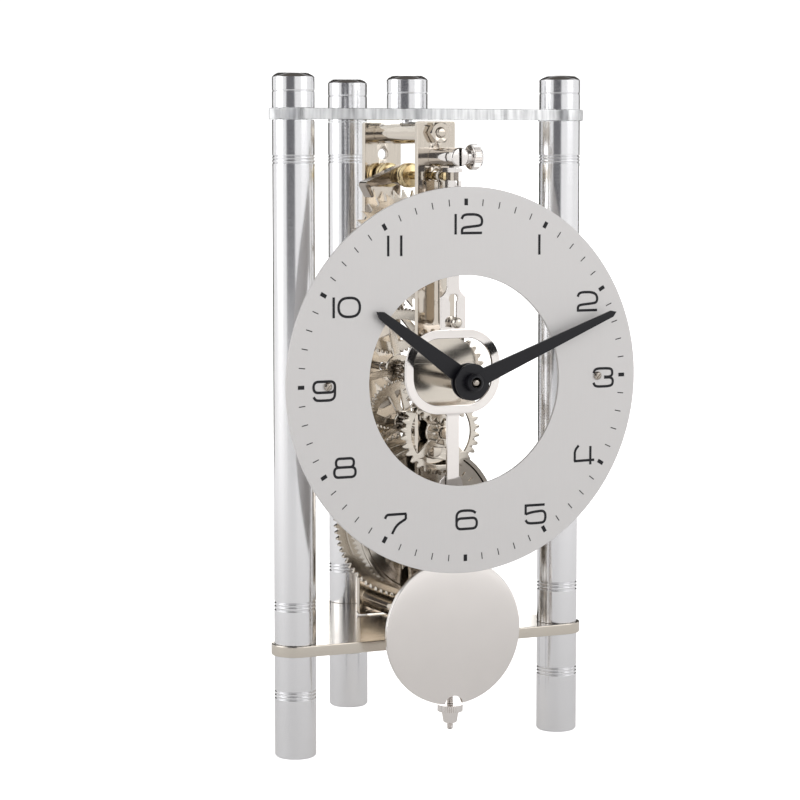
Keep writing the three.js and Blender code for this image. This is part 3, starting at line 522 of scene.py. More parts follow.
# ---------------------------------------------------------------- frame
for side, (x, y) in COLUMNS.items():
    top = BOTTOM_PLATE[0] - 0.05
    stud_top = BOTTOM_PLATE[1] + STUD_DEPTH
    piece(f"foot_{side}", "aluminium_turned", lathe(
        [(0, FOOT_Z + 0.5), (4.6, FOOT_Z + 0.5), (4.9, FOOT_Z), (5.4, FOOT_Z)]
        + grooved(COLUMN_RADIUS, FOOT_Z + 0.6, top, (16.5, 17.5, 18.5))
        + [(STUD, top), (STUD, stud_top), (0, stud_top)], "z", x, y, 0.12, 96))
    low, high = BOTTOM_PLATE[1] + 0.05, TOP_PLATE[0] - 0.05
    bore, depth = STUD + 0.15, STUD_DEPTH + 0.6
    piece(f"column_{side}", "aluminium_turned", lathe(
        [(0, low + depth), (bore, low + depth), (bore, low)]
        + grooved(COLUMN_RADIUS, low, high, (42.2, 43.3, 44.3, 169.6, 170.6, 171.5))
        + [(bore, high), (bore, high - depth), (0, high - depth)], "z", x, y, 0.12, 96))


def finial(node, x, y, stud_low, radius):
    low = TOP_PLATE[1] + 0.05
    piece(node, "aluminium_turned", lathe(
        [(0, stud_low), (radius, stud_low), (radius, low)]
        + grooved(COLUMN_RADIUS, low, TOP - 1.3, (189.8,), 0.2, 0.2)
        + [(COLUMN_RADIUS - 0.5, TOP - 0.75), (COLUMN_RADIUS - 1.5, TOP - 0.15), (2.5, TOP), (0, TOP)],
        "z", x, y, 0.12, 96))


for side, (x, y) in COLUMNS.items():
    finial(f"finial_{side}", x, y, TOP_PLATE[0] - STUD_DEPTH, STUD)
finial("finial_movement", 0, CAP_Y, PILLARS["top"] - 1.2, CAP_SCREW)


def triangle_plate(z, slot, node):
    """Rounded triangle over the three columns, with the two rear edges bowed inwards."""
    r, bow = 6.9, 3
    slope = math.atan2(FRONT_X, BACK_Y)
    lean = math.degrees(slope)
    right = (FRONT_X / 2 + (r - bow) * math.cos(slope), BACK_Y / 2 + (r - bow) * math.sin(slope))
    loop = arc(FRONT_X, 0, r, -90, lean, 20)
    loop += curve(loop[-1], right, polar(0, BACK_Y, r, slope), 24)[1:]
    loop += arc(0, BACK_Y, r, lean, 180 - lean, 20)[1:]
    end = polar(-FRONT_X, 0, r, math.pi - slope)
    loop += curve(loop[-1], (-right[0], right[1]), end, 24)[1:]
    loop += arc(-FRONT_X, 0, r, 180 - lean, 270, 20)[1:]
    holes = [circle(x, y, STUD + 0.15) for x, y in COLUMNS.values()]
    holes.append(circle(0, CAP_Y, CAP_SCREW + 0.15))
    piece(node, slot, slab(loop, *z, holes, 0.3, "xy"))


triangle_plate(BOTTOM_PLATE, "nickel_wheels", "bottom_plate")
triangle_plate(TOP_PLATE, "clear_acrylic", "top_plate")
screw_top = BOTTOM_PLATE[0] - 0.05
piece("movement_screw", "steel", lathe(
    [(0, screw_top - 2.2), (2.6, screw_top - 2.1), (3.5, screw_top - 1.5), (3.5, screw_top),
     (CAP_SCREW, screw_top), (CAP_SCREW, 36.9), (0, 36.9)], "z", 0, CAP_Y, 0.15, 48),
    cuts=[block((-5, 5), (CAP_Y - 0.4, CAP_Y + 0.4), (screw_top - 4, screw_top - 1.2), 0)])


# ---------------------------------------------------------------- movement frame
def movement_loop():
    half, foot = 6, 8
    corners = [
        (-foot, PLATE_Z[0]), (foot, PLATE_Z[0]), (foot, 54), (half, 62), (half, PLATE_Z[1]),
        (-half, PLATE_Z[1]), (-half, 62), (-foot, 54),
    ]
    return soften(corners, 0.8, 5)


def pivot_ring(z, y, radius=0.75):
    """A pivot end in its polished sink."""
    return tube("y", radius - 0.28, radius, y - 0.06, y + 0.4, 0, z, 0.05, 32)


front, back = FRONT_PLATE
post = lathe([(0, front + 0.5), (1, front + 0.5), (1, -10.8), (1.7, -10.8), (1.7, -11.4), (0, -11.4)],
             "y", 0, AXIS["minute"], 0.12, 40)
rivet = lathe([(0, front + 0.5), (1.2, front + 0.5), (1.2, -6.4), (2, -6.4), (2, -6.7), (0, -6.7)],
              "y", -1.2, 86.4, 0.1, 40)
front_holes = [(PILLARS["top"], 1.6), (PILLARS["bottom"], 1.6), (AXIS["barrel"], 2.3),
               (AXIS["centre"], 1.5), (AXIS["escape"], 1.2), (AXIS["anchor"], 1.5), (171.2, 1.7)]
piece("front_plate", "nickel_plates",
      slab(movement_loop(), front, back, [circle(0, z, r) for z, r in front_holes], 0.22),
      joins=[tube("y", 1.4, 2, back - 0.5, 10.8, 0, AXIS["intermediate"]), post, rivet,
             pivot_ring(129.2, front)])
back_holes = [(PILLARS["top"], 1.6), (PILLARS["bottom"], 1.6), (AXIS["barrel"], 2.3),
              (AXIS["third"], 1.4), (AXIS["centre"], 1.2), (AXIS["escape"], 1.2),
              (AXIS["anchor"], 1.2), (172, 1.6)]
piece("back_plate", "nickel_plates",
      slab(movement_loop(), *BACK_PLATE, [circle(0, z, r) for z, r in back_holes], 0.22),
      joins=[tube("y", 1.4, 2, 27.4, BACK_PLATE[0] + 0.5, 0, AXIS["third"])])

for level, z in PILLARS.items():
    low, high, reach = back + 0.1, BACK_PLATE[0] - 0.1, 3.6
    neck = 2.6
    blind = (z - 1.6, z + 5) if level == "top" else (z - 5, z + 1.6)
    piece(f"{level}_pillar", "nickel_plates", lathe(
        [(0, front - reach), (1.1, front - reach), (1.5, front - reach + 0.4), (1.5, low), (3.25, low),
         (3.25, high - 9.4), (neck + 0.45, high - 9.2), (neck + 0.45, high), (1.5, high),
         (1.5, BACK_PLATE[1] + reach - 0.4), (1.1, BACK_PLATE[1] + reach), (0, BACK_PLATE[1] + reach)],
        "y", 0, z, 0.15, 48), cuts=[rod("z", CAP_SCREW + 0.15, *blind, 0, CAP_Y, 0)])
    for face, y in (("front", front - 0.3 - NUT_THICKNESS), ("back", BACK_PLATE[1] + 0.3)):
        flat = 2.85
        corner = flat / math.cos(math.pi / 6)
        turned = [(1.6, y - 1), (flat - 0.1, y), (corner + 0.05, y + 0.55), (corner + 0.05, y + 2.05),
                  (flat - 0.1, y + NUT_THICKNESS), (1.6, y + NUT_THICKNESS + 1)]
        piece(f"nut_{face}_{level}", "nickel_plates",
              slab(circle(0, z, corner, 6), y, y + NUT_THICKNESS, [circle(0, z, 1.55)], 0.05),
              keeps=[lathe(turned, "y", 0, z, 0, 48)])


# ---------------------------------------------------------------- dial
dial_front = DIAL["front"]
screw_holes = [circle(x, CENTRE_Z, 1.05, 24) for x in (-FRONT_X, FRONT_X)]
piece("dial", "satin_silver", slab(
    circle(0, CENTRE_Z, DIAL["outer"], 180), dial_front, DIAL["back"],
    [circle(0, CENTRE_Z, DIAL["inner"], 140)] + screw_holes, 0.14))
for side, x in (("left", -FRONT_X), ("right", FRONT_X)):
    piece(f"dial_standoff_{side}", "aluminium_turned", lathe(
        [(0, -17.4), (1.2, -17.4), (1.2, -22.85), (2.2, -22.85), (2.2, -21.4), (1.9, -21.2),
         (1.9, -20.9), (2.2, -20.7), (2.2, -6.06), (0, -6.06)], "y", x, CENTRE_Z, 0.1, 48))
    piece(f"dial_screw_{side}", "steel", lathe(
        [(0, -24.75), (0.6, -24.72), (0.95, -24.55), (1.2, -24.3), (1.2, -23.95), (0.9, -23.95),
         (0.9, -18.9), (0, -18.9)], "y", x, CENTRE_Z, 0.05, 40),
        cuts=[slab([polar(x, CENTRE_Z, r, math.radians(a)) for r, a in
                    ((2, 40), (2, 52), (2, 220), (2, 232))], -25.5, -24.45, soft=0)])

LINE = 0.74  # width of the numerals' line
GLYPH_W, GLYPH_H = 6.45, 5.25  # a digit's box, measured on the middle of its line


def ribbon(points, width=LINE, closed=False):
    """The outline loops of a line of that width: one loop, or two for a closed line."""
    if closed:
        loop = turned_left(points, True)
        return [inset(loop, -width / 2), inset(loop, width / 2)]
    left, right = [], []
    for i, p in enumerate(points):
        before = points[max(0, i - 1)]
        after = points[min(len(points) - 1, i + 1)]
        dx, dy = unit(after[0] - before[0], after[1] - before[1])
        left.append((p[0] - dy * width / 2, p[1] + dx * width / 2))
        right.append((p[0] + dy * width / 2, p[1] - dx * width / 2))
    return [left + right[::-1]]


def scaled(points):
    return [(u * GLYPH_W, v * GLYPH_H) for u, v in points]


def bar(*points):
    return scaled(points), False


def bend(size, *points):
    """A line through the points with rounded corners."""
    return soften(scaled(points), size, 7, loop=False, least_turn=8, share=0.5), False


def bowl(x0, x1, y0, y1, size):
    """A closed line round a box with rounded corners."""
    return soften(scaled(rectangle(x0, x1, y0, y1)), size, 9, share=0.5), True


# Lines of each digit, in shares of its box
GLYPHS = {
    "0": [bowl(0, 1, 0, 1, 3)],
    "1": [bar((0.5, -0.05), (0.5, 1.05))],
    "2": [bend(1.6, (0, 0.76), (0.1, 1), (0.75, 1), (1, 0.82), (1, 0.42), (0.7, 0.37), (0.25, 0.32),
               (0.02, 0.27), (0.02, -0.05)), bar((-0.02, 0), (1, 0))],
    "3": [bend(1.5, (0, 0.76), (0.1, 1), (0.7, 1), (0.97, 0.95), (0.97, 0.53), (0.55, 0.53)),
          bend(1.5, (0.55, 0.49), (1, 0.49), (1, 0.05), (0.7, 0), (0.1, 0), (0, 0.22))],
    "4": [bend(1.0, (0.2, 1.04), (0, 0.78), (0, 0.18)), bar((-0.04, 0.18), (1, 0.2)),
          bar((0.8, 0.98), (0.8, -0.05))],
    "5": [bar((0.96, 1), (-0.04, 1)), bar((0, 1.04), (0, 0.5)),
          bend(1.7, (0, 0.52), (0.3, 0.62), (1, 0.68), (1, 0.02), (0.6, 0), (0.1, 0), (0, 0.2))],
    "6": [bowl(0, 1, 0, 0.58, 1.5), bend(2.2, (0, 0.3), (0, 1), (0.75, 1), (0.95, 0.84))],
    "7": [bend(0.8, (0, 0.8), (0.08, 1), (0.5, 1)), bar((0.5, 1), (1.03, 1)), bar((1, 1), (1, 0.7)),
          bend(1.6, (1, 0.72), (0.55, 0.42), (0.34, -0.05))],
    "8": [bowl(0.08, 0.92, 0.53, 1, 1.2), bowl(0, 1, 0, 0.53, 1.35)],
    "9": [bowl(0, 1, 0.42, 1, 1.5), bend(2.0, (1, 0.7), (1, 0), (0.3, 0), (0.1, 0.02), (0, 0.2))],
}
# Each digit with the middle of its box, from the middle of the dial
NUMERALS = [
    ("1", -3.3, 44.4), ("2", 1.8, 44.5), ("1", 23.4, 38.3), ("2", 39.2, 21.7), ("3", 44.6, -0.6),
    ("4", 38.6, -23.0), ("5", 22.6, -39.4), ("6", 0.4, -39.7), ("7", -22.0, -39.5), ("8", -37.5, -22.9),
    ("9", -43.7, -1.2), ("1", -40.8, 21.8), ("0", -36.1, 21.8), ("1", -24.2, 38.6), ("1", -20.2, 38.6),
]


def print_solids():
    """Every line of the dial's print, as thin flat pieces that stand a hair proud of the dial."""
    solids = []
    level = 0

    def add(loops):
        nonlocal level
        level = (level + 1) % 3
        proud = dial_front - 0.03 - 0.006 * level
        solids.append(slab(loops[0], proud, dial_front - 0.004, loops[1:], soft=0))

    for digit, x, z in NUMERALS:
        corner_x, corner_z = x - GLYPH_W / 2, CENTRE_Z + z - GLYPH_H / 2
        for points, closed in GLYPHS[digit]:
            add(ribbon([(corner_x + u, corner_z + v) for u, v in points], LINE, closed))
    for minute in range(60):
        angle = math.radians(90 - 6 * minute)
        width = 1.1 if minute % 5 == 0 else 0.27
        ends = [polar(0, CENTRE_Z, r, angle) for r in (49.7, 51.6)]
        add(ribbon(ends, width))
    return solids


def merged(solids):
    vertices, faces = [], []
    for points, polygons in solids:
        base = len(vertices)
        vertices.extend(points)
        faces.extend(tuple(base + i for i in f) for f in polygons)
    return vertices, faces


dial_print = mesh_object("dial_print", merged(print_solids()))
dial_print.data.materials.append(MATERIALS["black_paint"])
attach(dial_print, "frame")


# ---------------------------------------------------------------- hands
def hand(node, length, root, tip, y, angle, bore):
    """A tapered hand with a round boss and a short point, turned clockwise from 12."""
    boss = 5.25
    start = math.degrees(math.asin(root / 2 / boss))
    point = tip * 0.75
    loop = arc(0, 0, boss, start, 360 - start, 64)
    loop += [(length - point, -tip / 2), (length, 0), (length - point, tip / 2)]
    turn = math.radians(90 - angle)
    c, s = math.cos(turn), math.sin(turn)
    place = [(u * c - v * s, CENTRE_Z + u * s + v * c) for u, v in loop]
    piece(node, "black_paint", slab(place, y, y + 1, [circle(0, CENTRE_Z, bore)], 0.16))


hand("hour_hand", 35, 5, 2.4, -26, 305.7, 3.2)
hand("minute_hand", 50, 4.6, 1.9, -28.5, 68, 2.25)
piece("hand_nut", "black_paint", lathe(
    [(1.5, -30.9), (1.9, -30.85), (2.5, -30.35), (2.5, -28.65), (2.3, -28.65), (2.3, -30.3), (1.5, -30.45)],
    "y", 0, CENTRE_Z, 0.08, 48))


# ---------------------------------------------------------------- going train
def pitch_radii(driver, driven, distance):
    return distance * driver / (driver + driven), distance * driven / (driver + driven)


barrel_r, intermediate_pinion_r = pitch_radii(80, 10, AXIS["intermediate"] - AXIS["barrel"])
intermediate_r, centre_pinion_r = pitch_radii(60, 12, AXIS["centre"] - AXIS["intermediate"])
centre_r, third_pinion_r = pitch_radii(96, 7, AXIS["third"] - AXIS["centre"])
third_r, escape_pinion_r = pitch_radii(60, 6, AXIS["escape"] - AXIS["third"])
minute_r, cannon_r = pitch_radii(30, 10, AXIS["centre"] - AXIS["minute"])
hour_r, minute_pinion_r = pitch_radii(32, 8, AXIS["centre"] - AXIS["minute"])


def wheel(node, count, radius, z, y, bore, spokes):
    """A toothed wheel with spokes: y is its front and back, spokes the arguments of windows()."""
    piece(node, "nickel_wheels", slab(
        gear_loop(count, radius, z), *y, [circle(0, z, bore)] + windows(z, *spokes), 0.07))


def arbor(node, z, profile, leaves=None, slot="steel"):
    """A turned arbor with its pinion leaves: (count, pitch radius, from Y, to Y)."""
    joins = []
    if leaves:
        count, radius, low, high = leaves
        joins.append(slab(gear_loop(count, radius, z, gap_down(count)), low, high, soft=0.12))
    piece(node, slot, lathe(profile, "y", 0, z, 0.12, 40), joins)


barrel_z = AXIS["barrel"]
piece("barrel", "nickel_wheels", lathe(
    [(20.8, 0), (22, 0), (22, 0.9), (21.8, 1.1), (21.8, 1.5), (22, 1.7), (22, 10.2), (21.8, 10.4),
     (21.8, 10.8), (22, 11), (22, 11.9), (20.8, 11.9)], "y", 0, barrel_z, 0.15, 120))
piece("barrel_wheel", "nickel_wheels", slab(
    gear_loop(80, barrel_r, barrel_z), 12, 13.6, [circle(0, barrel_z, 3)], 0.1))
piece("barrel_cap", "nickel_wheels", lathe(
    [(3, 0.35), (5, 0.35), (5.6, 0.2), (17.5, 0.2), (18.2, 0.45), (20.5, 0.45), (20.5, 1.2), (3, 1.2)],
    "y", 0, barrel_z, 0.12, 120))
square = 1.4
piece("barrel_arbor", "steel", lathe(
    [(0, front), (STUD, front), (STUD, back + 0.3), (2.6, back + 0.3), (2.6, 1.6), (4, 1.6), (4, 11.4),
     (2.6, 11.4), (2.6, BACK_PLATE[0] - 0.3), (STUD, BACK_PLATE[0] - 0.3), (STUD, BACK_PLATE[1] + 1),
     (0, BACK_PLATE[1] + 1)], "y", 0, barrel_z, 0.12, 48),
    joins=[slab(soften(rectangle(-square, square, barrel_z - square, barrel_z + square), 0.15),
                low, high, soft=0.25) for low, high in ((-6.7, front + 0.2), (BACK_PLATE[1], 46))])
piece("ratchet_wheel", "nickel_wheels", slab(
    saw_loop(36, 17, 15.4, barrel_z, 68.6), *WINDING_PLANE,
    [rectangle(-1.6, 1.6, barrel_z - 1.6, barrel_z + 1.6)] + windows(barrel_z, 5.5, 12, 3, 5, 0.5), 0.07))
click_x, click_z = -1.2, 86.4
click_loop = arc(click_x, click_z, 2.6, 81, 288, 28) + [(3.4, 83), (5.3, 80.6), (6.2, 82.2), (4.6, 85.6)]
piece("click", "nickel_wheels", slab(
    soften(click_loop, 0.25), *WINDING_PLANE, [circle(click_x, click_z, 1.4)], 0.12))
spring_loop = ([(-5.6, 97.6), (-5.6, 95.4)] + curve((-2.4, 95.4), (3.6, 95.2), (4.6, 86.6), 16)
               + curve((5.1, 86.7), (4.4, 96), (-2.4, 97.6), 16))
piece("click_spring", "steel", slab(soften(spring_loop, 0.1), -6.1, -5.2, soft=0.06),
      joins=[rod("y", 0.7, -5.5, front - 0.05, -4.2, 96.5, 0.08)])

arbor("intermediate_arbor", AXIS["intermediate"],
      [(0, back + 0.3), (1.1, back + 0.3), (1.1, 18.3), (0, 18.3)], (10, intermediate_pinion_r, 11.1, 15.3))
wheel("intermediate_wheel", 60, intermediate_r, AXIS["intermediate"], (16, 17.2), 1.25, (3.4, 10, 4, 2, 0.5))
arbor("centre_arbor", AXIS["centre"],
      [(0, -31), (0.7, -30.95), (1.2, -30.4), (1.2, BACK_PLATE[0] - 0.3), (0.9, BACK_PLATE[0] - 0.3),
       (0.9, PIVOT_END), (0, PIVOT_END)], (12, centre_pinion_r, 15.2, 18.6))
wheel("centre_wheel", 96, centre_r, AXIS["centre"], (20, 21.2), 1.35, (4.4, 15, 4, 2.2, 0.2))
arbor("third_arbor", AXIS["third"],
      [(0, 19.3), (0.8, 19.3), (0.8, 22.6), (1.1, 22.6), (1.1, PIVOT_END), (0, PIVOT_END)],
      (7, third_pinion_r, 19.3, 22.6))
wheel("third_wheel", 60, third_r, AXIS["third"], (24.8, 26), 1.25, (3.6, 11.6, 4, 2, 0.7))
arbor("escape_arbor", AXIS["escape"],
      [(0, front - 0.3), (0.9, front - 0.3), (0.9, PIVOT_END), (0, PIVOT_END)],
      (6, escape_pinion_r, 24, 27.4))
piece("escape_wheel", "nickel_wheels", slab(
    saw_loop(36, 17.6, 15.2, AXIS["escape"], 90), 17.6, 18.8,
    [circle(0, AXIS["escape"], 1.05)] + windows(AXIS["escape"], 3.6, 12.6, 4, 2, 0.4), 0.07))

# ---------------------------------------------------------------- anchor and crutch
anchor_z = AXIS["anchor"]


def collet(low, high):
    """The outline of a brass collet with a turned groove, as profile points."""
    middle = (low + high) / 2
    return [(1.2, low), (3.05, low), (3.65, low + 0.6), (3.65, middle - 0.35), (3.35, middle - 0.15),
            (3.35, middle + 0.15), (3.65, middle + 0.35), (3.65, high - 0.6), (3.05, high), (1.2, high)]


piece("anchor_arbor", "brass", lathe(
    [(0, -9.9), (1.2, -9.9)] + collet(12, 15.8) + collet(26.8, 30.8)
    + [(1.2, 32), (0.9, 32), (0.9, PIVOT_END), (0, PIVOT_END)], "y", 0, anchor_z, 0.1, 56))
right_arm = [(0, 3.1), (2.2, 2.6), (12.9, -2.0), (13.1, -2.9), (11.1, -6.6), (10.1, -6.2), (11.4, -3.4),
             (3.0, -2.2), (0, -2.9)]
anchor_loop = right_arm + [(-u, v) for u, v in right_arm[1:-1][::-1]]
piece("anchor", "blued_steel", slab(
    soften([(u, anchor_z + v) for u, v in anchor_loop], 0.5, 4, least_turn=12), 16.2, 21.2,
    [circle(0, anchor_z, 1.35)], 0.12))
crutch_z = 124.2
crutch_loop = arc(0, anchor_z, 2.3, -54, 234, 28) + arc(0, crutch_z, 1.35, 180, 360, 16)
pin = lathe([(0, -9), (0.9, -9), (0.9, -13.4), (1.8, -13.4), (1.8, -14.6), (0.7, -14.6), (0.7, -16.4),
             (1.6, -17), (1.6, -18.4), (1.1, -19.2), (0, -19.4)], "y", 0, crutch_z, 0.25, 40)
piece("crutch", "nickel_wheels", slab(
    crutch_loop, -9.5, -8.5, [circle(0, anchor_z, 1.35)], 0.12), joins=[pin])

# ---------------------------------------------------------------- motion work
piece("cannon_pinion", "steel", slab(
    gear_loop(10, cannon_r, CENTRE_Z, gap_down(10)), -8.2, -6.2, [circle(0, CENTRE_Z, 1.5)], 0.1),
    joins=[tube("y", 1.5, 2.1, -30.2, -6, 0, CENTRE_Z)])
piece("minute_wheel", "nickel_wheels", slab(
    gear_loop(30, minute_r, AXIS["minute"]), -8, -7,
    [circle(0, AXIS["minute"], 1.25)] + windows(AXIS["minute"], 4.6, 9.6, 4, 2, math.pi / 4), 0.1),
    joins=[slab(gear_loop(8, minute_pinion_r, AXIS["minute"]), -10.4, -7.6,
                [circle(0, AXIS["minute"], 1.25)], 0.1)])
piece("hour_wheel", "nickel_wheels", slab(
    gear_loop(32, hour_r, CENTRE_Z, gap_down(32)), -10, -9, [circle(0, CENTRE_Z, 2.4)], 0.1),
    joins=[tube("y", 2.4, 3, -26.2, -9, 0, CENTRE_Z)])

# ---------------------------------------------------------------- suspension
SUSPENSION_Z, SCREW_Y = 171.2, -17
piece("suspension_stud", "polished_nickel", lathe(
    [(0, -20.2), (2.4, -20.2), (2.7, -19.9), (2.7, front - 0.05), (1.6, front - 0.05), (1.6, -2),
     (0, -2)], "y", 0, SUSPENSION_Z, 0.15, 56),
    cuts=[block((-0.5, 0.5), (-22, -12.5), (SUSPENSION_Z - 4, SUSPENSION_Z + 4), 0),
          rod("x", 1.4, -3.2, 3.2, SCREW_Y, SUSPENSION_Z, 0)])


def knurled(radius, teeth, depth, cu, cv):
    """A round outline with fine grip teeth."""
    loop = []
    for i in range(teeth):
        loop.append(polar(cu, cv, radius, 2 * math.pi * (i + 0.2) / teeth))
        loop.append(polar(cu, cv, radius, 2 * math.pi * (i + 0.5) / teeth))
        loop.append(polar(cu, cv, radius - depth, 2 * math.pi * (i + 0.85) / teeth))
    return loop


piece("thumb_screw", "polished_nickel", lathe(
    [(0, -2.4), (1.1, -2.4), (1.1, 3.1), (2, 3.1), (2, 4.4), (3.4, 4.4), (3.65, 4.7), (3.65, 6.6),
     (3, 7.4), (1.5, 7.9), (0, 8)], "x", SCREW_Y, SUSPENSION_Z, 0.2, 64),
    keeps=[slab(knurled(3.65, 48, 0.18, SCREW_Y, SUSPENSION_Z), -3, 9, soft=0, plane="yz")])
half_blade = 0.12
piece("suspension_clamp_top", "polished_nickel", block((-1.1, 1.1), (-19.3, -10.7), (166.9, 168.2), 0.15),
      joins=[block((-0.2, 0.2), (-19.3, -13.2), (168, 173.2), 0.04)],
      cuts=[rod("x", 1.4, -1, 1, SCREW_Y, SUSPENSION_Z, 0),
            block((-0.2, 0.2), (-19.1, -10.9), (166, 168.05), 0)])
piece("suspension_clamp_bottom", "polished_nickel", block((-1.1, 1.1), (-18.6, -12.4), (162, 164.6), 0.15),
      cuts=[block((-0.2, 0.2), (-20, -10), (163.1, 165), 0),
            block((-2, 2), (-16.15, -14.85), (161, 162.75), 0)])


def blade(y0, y1):
    """One strip of the suspension spring, in short lengths along its height."""
    levels = [163.2 + 4.8 * i / 16 for i in range(17)]
    vertices = [(x, y, z) for z in levels for x, y in
                ((-half_blade, y0), (half_blade, y0), (half_blade, y1), (-half_blade, y1))]
    faces = [(0, 1, 2, 3), tuple(len(vertices) - 1 - i for i in range(4))]
    for k in range(len(levels) - 1):
        for i in range(4):
            j = (i + 1) % 4
            faces.append((4 * k + i, 4 * k + j, 4 * k + 4 + j, 4 * k + 4 + i))
    return vertices, faces


blades = mesh_object("suspension_blades_look", merged([blade(-18.9, -16.2), blade(-13.8, -11.1)]))
blades.data.materials.append(MATERIALS["blued_steel"])
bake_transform(blades)
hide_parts("suspension_blades")

# ---------------------------------------------------------------- pendulum
RING_Z = 110
RING_HALF_WIDTH, RING_HALF_HEIGHT, RING_CORNER = 15, 12.1, 10.5
HANGER_TOP = 80.7


def leader_loop():
    """The leader's outline: strip, keyhole head, ring and lower strip."""
    ring_top, ring_low, corner = RING_Z + RING_HALF_HEIGHT, RING_Z - RING_HALF_HEIGHT, RING_CORNER
    right = [(1.8, 162.6), (1.8, 134.6)]
    right += curve((1.8, 134.6), (1.8, 133), (3.9, 131.4), 6)[1:]
    right += curve((3.9, ring_top + 0.6), (3.9, ring_top), (4.5, ring_top), 5)
    right += arc(RING_HALF_WIDTH - corner, ring_top - corner, corner, 90, 0, 18)[1:]
    right += arc(RING_HALF_WIDTH - corner, ring_low + corner, corner, 0, -90, 18)
    right += curve((2.9, ring_low), (1.9, ring_low), (1.9, ring_low - 1), 5) + [(1.9, HANGER_TOP - 8)]
    left = [(-u, v) for u, v in right[::-1]]
    return right + left


def rounded_rectangle(cx, cz, width, height, radius, steps=14):
    x, z = width / 2 - radius, height / 2 - radius
    corners = ((x, z, 0), (-x, z, 90), (-x, -z, 180), (x, -z, 270))
    return [p for dx, dz, a in corners for p in arc(cx + dx, cz + dz, radius, a, a + 90, steps)]


mouth = math.degrees(math.acos(1.05 / 1.45))
keyhole = arc(0, 130.9, 1.45, -mouth, 180 + mouth, 24) + arc(0, crutch_z, 1.05, 180, 360, 12)
piece("pendulum_leader", "polished_nickel", slab(
    soften(leader_loop(), 0.2, 2), -16, -15,
    [keyhole, rounded_rectangle(0, RING_Z, 25, 19.2, 8.2)], 0.14),
    joins=[rod("y", 0.8, -15.5, -13.3, 0, HANGER_TOP - 5.6, 0.15)])

ROD_Y = -14.2
HANGER_HALF = 3.75
hanger_side = [(-HANGER_HALF, 42), (-1.75, 40), (1.75, 40), (HANGER_HALF, 42),
               (HANGER_HALF, HANGER_TOP - HANGER_HALF)]
hanger = soften(hanger_side, 0.4, 4, loop=False)
hanger += arc(0, HANGER_TOP - HANGER_HALF, HANGER_HALF, 0, 180, 32)[1:]
thread = [(0, 5.7), (0.6, 5.7)]
for i in range(28):
    thread += [(0.95, 6.0 + 0.5 * i), (0.78, 6.25 + 0.5 * i)]
thread += [(0.95, 20), (0.95, 42), (0, 42)]
piece("bob_hanger", "polished_nickel", slab(
    hanger, -14.7, -13.7, [rounded_rectangle(0, HANGER_TOP - 5.6, 2.2, 4.4, 1.05)], 0.14),
    joins=[lathe(thread, "z", 0, ROD_Y, 0, 32)])

BOB_Z, BOB_R, BOB_BACK = 34.8, 21.4, -15.5
arch = arc(0, 0, 1, 0, 180, 24)
notch = [(2.75, BOB_Z - BOB_R - 1)] + [
    (2.75 * c, BOB_Z - BOB_R + 0.4 + 2.2 * s) for c, s in arch] + [(-2.75, BOB_Z - BOB_R - 1)]
dome = [(BOB_R * math.sin(t), -16.7 - 0.6 * math.cos(t) ** 1.2) for t in
        (math.pi / 2 * i / 14 for i in range(14))]
piece("bob", "polished_nickel", lathe(
    dome + [(BOB_R, -16.5), (BOB_R, BOB_BACK), (0, BOB_BACK)], "y", 0, BOB_Z, 0.12, 160),
    joins=[block((min(a, b), max(a, b)), (BOB_BACK - 0.5, -13.4), (45, 52), 0.15)
           for a, b in ((3.95, 5.35), (-5.35, -3.95))],
    cuts=[slab(notch, -19.5, -13, soft=0)])
piece("rating_nut", "polished_nickel", lathe(
    [(1.05, 7.8), (1.9, 7.8), (2.05, 8.3), (2.35, 10.2), (2.6, 11.1), (3.7, 11.1), (3.7, 13.1),
     (1.05, 13.1)], "z", 0, ROD_Y, 0.15, 64),
    keeps=[slab(knurled(3.7, 40, 0.2, 0, ROD_Y), 7, 14, soft=0, plane="xy")])

# The mainspring lies inside the barrel and keeps its CAD shape.
for name, node in frame["nodes"].items():
    if node.hide_render:
        continue
    node.data.materials.clear()
    node.data.materials.append(MATERIALS["blued_steel"])
    edge = node.modifiers.new("edge", "BEVEL")
    edge.width = 0.00005
    edge.limit_method = "ANGLE"

# ---------------------------------------------------------------- floor, light and camera
VIEW_YAW = math.radians(25.035)
FOCAL_PIXELS, IMAGE_PIXELS = 2619.1, 800
SENSOR_WIDTH = 36
FLOOR_HALF = 30
CORNER_SIGNS = ((-1, -1), (1, -1), (1, 1), (-1, 1))
VIEW_PITCH = math.radians(-5.452)


def round_the_clock(angle, distance, height):
    """A point at an angle to the right of the camera, seen from the clock, in metres."""
    a = VIEW_YAW - math.radians(angle)
    return Vector((-math.sin(a) * distance, -math.cos(a) * distance, height))


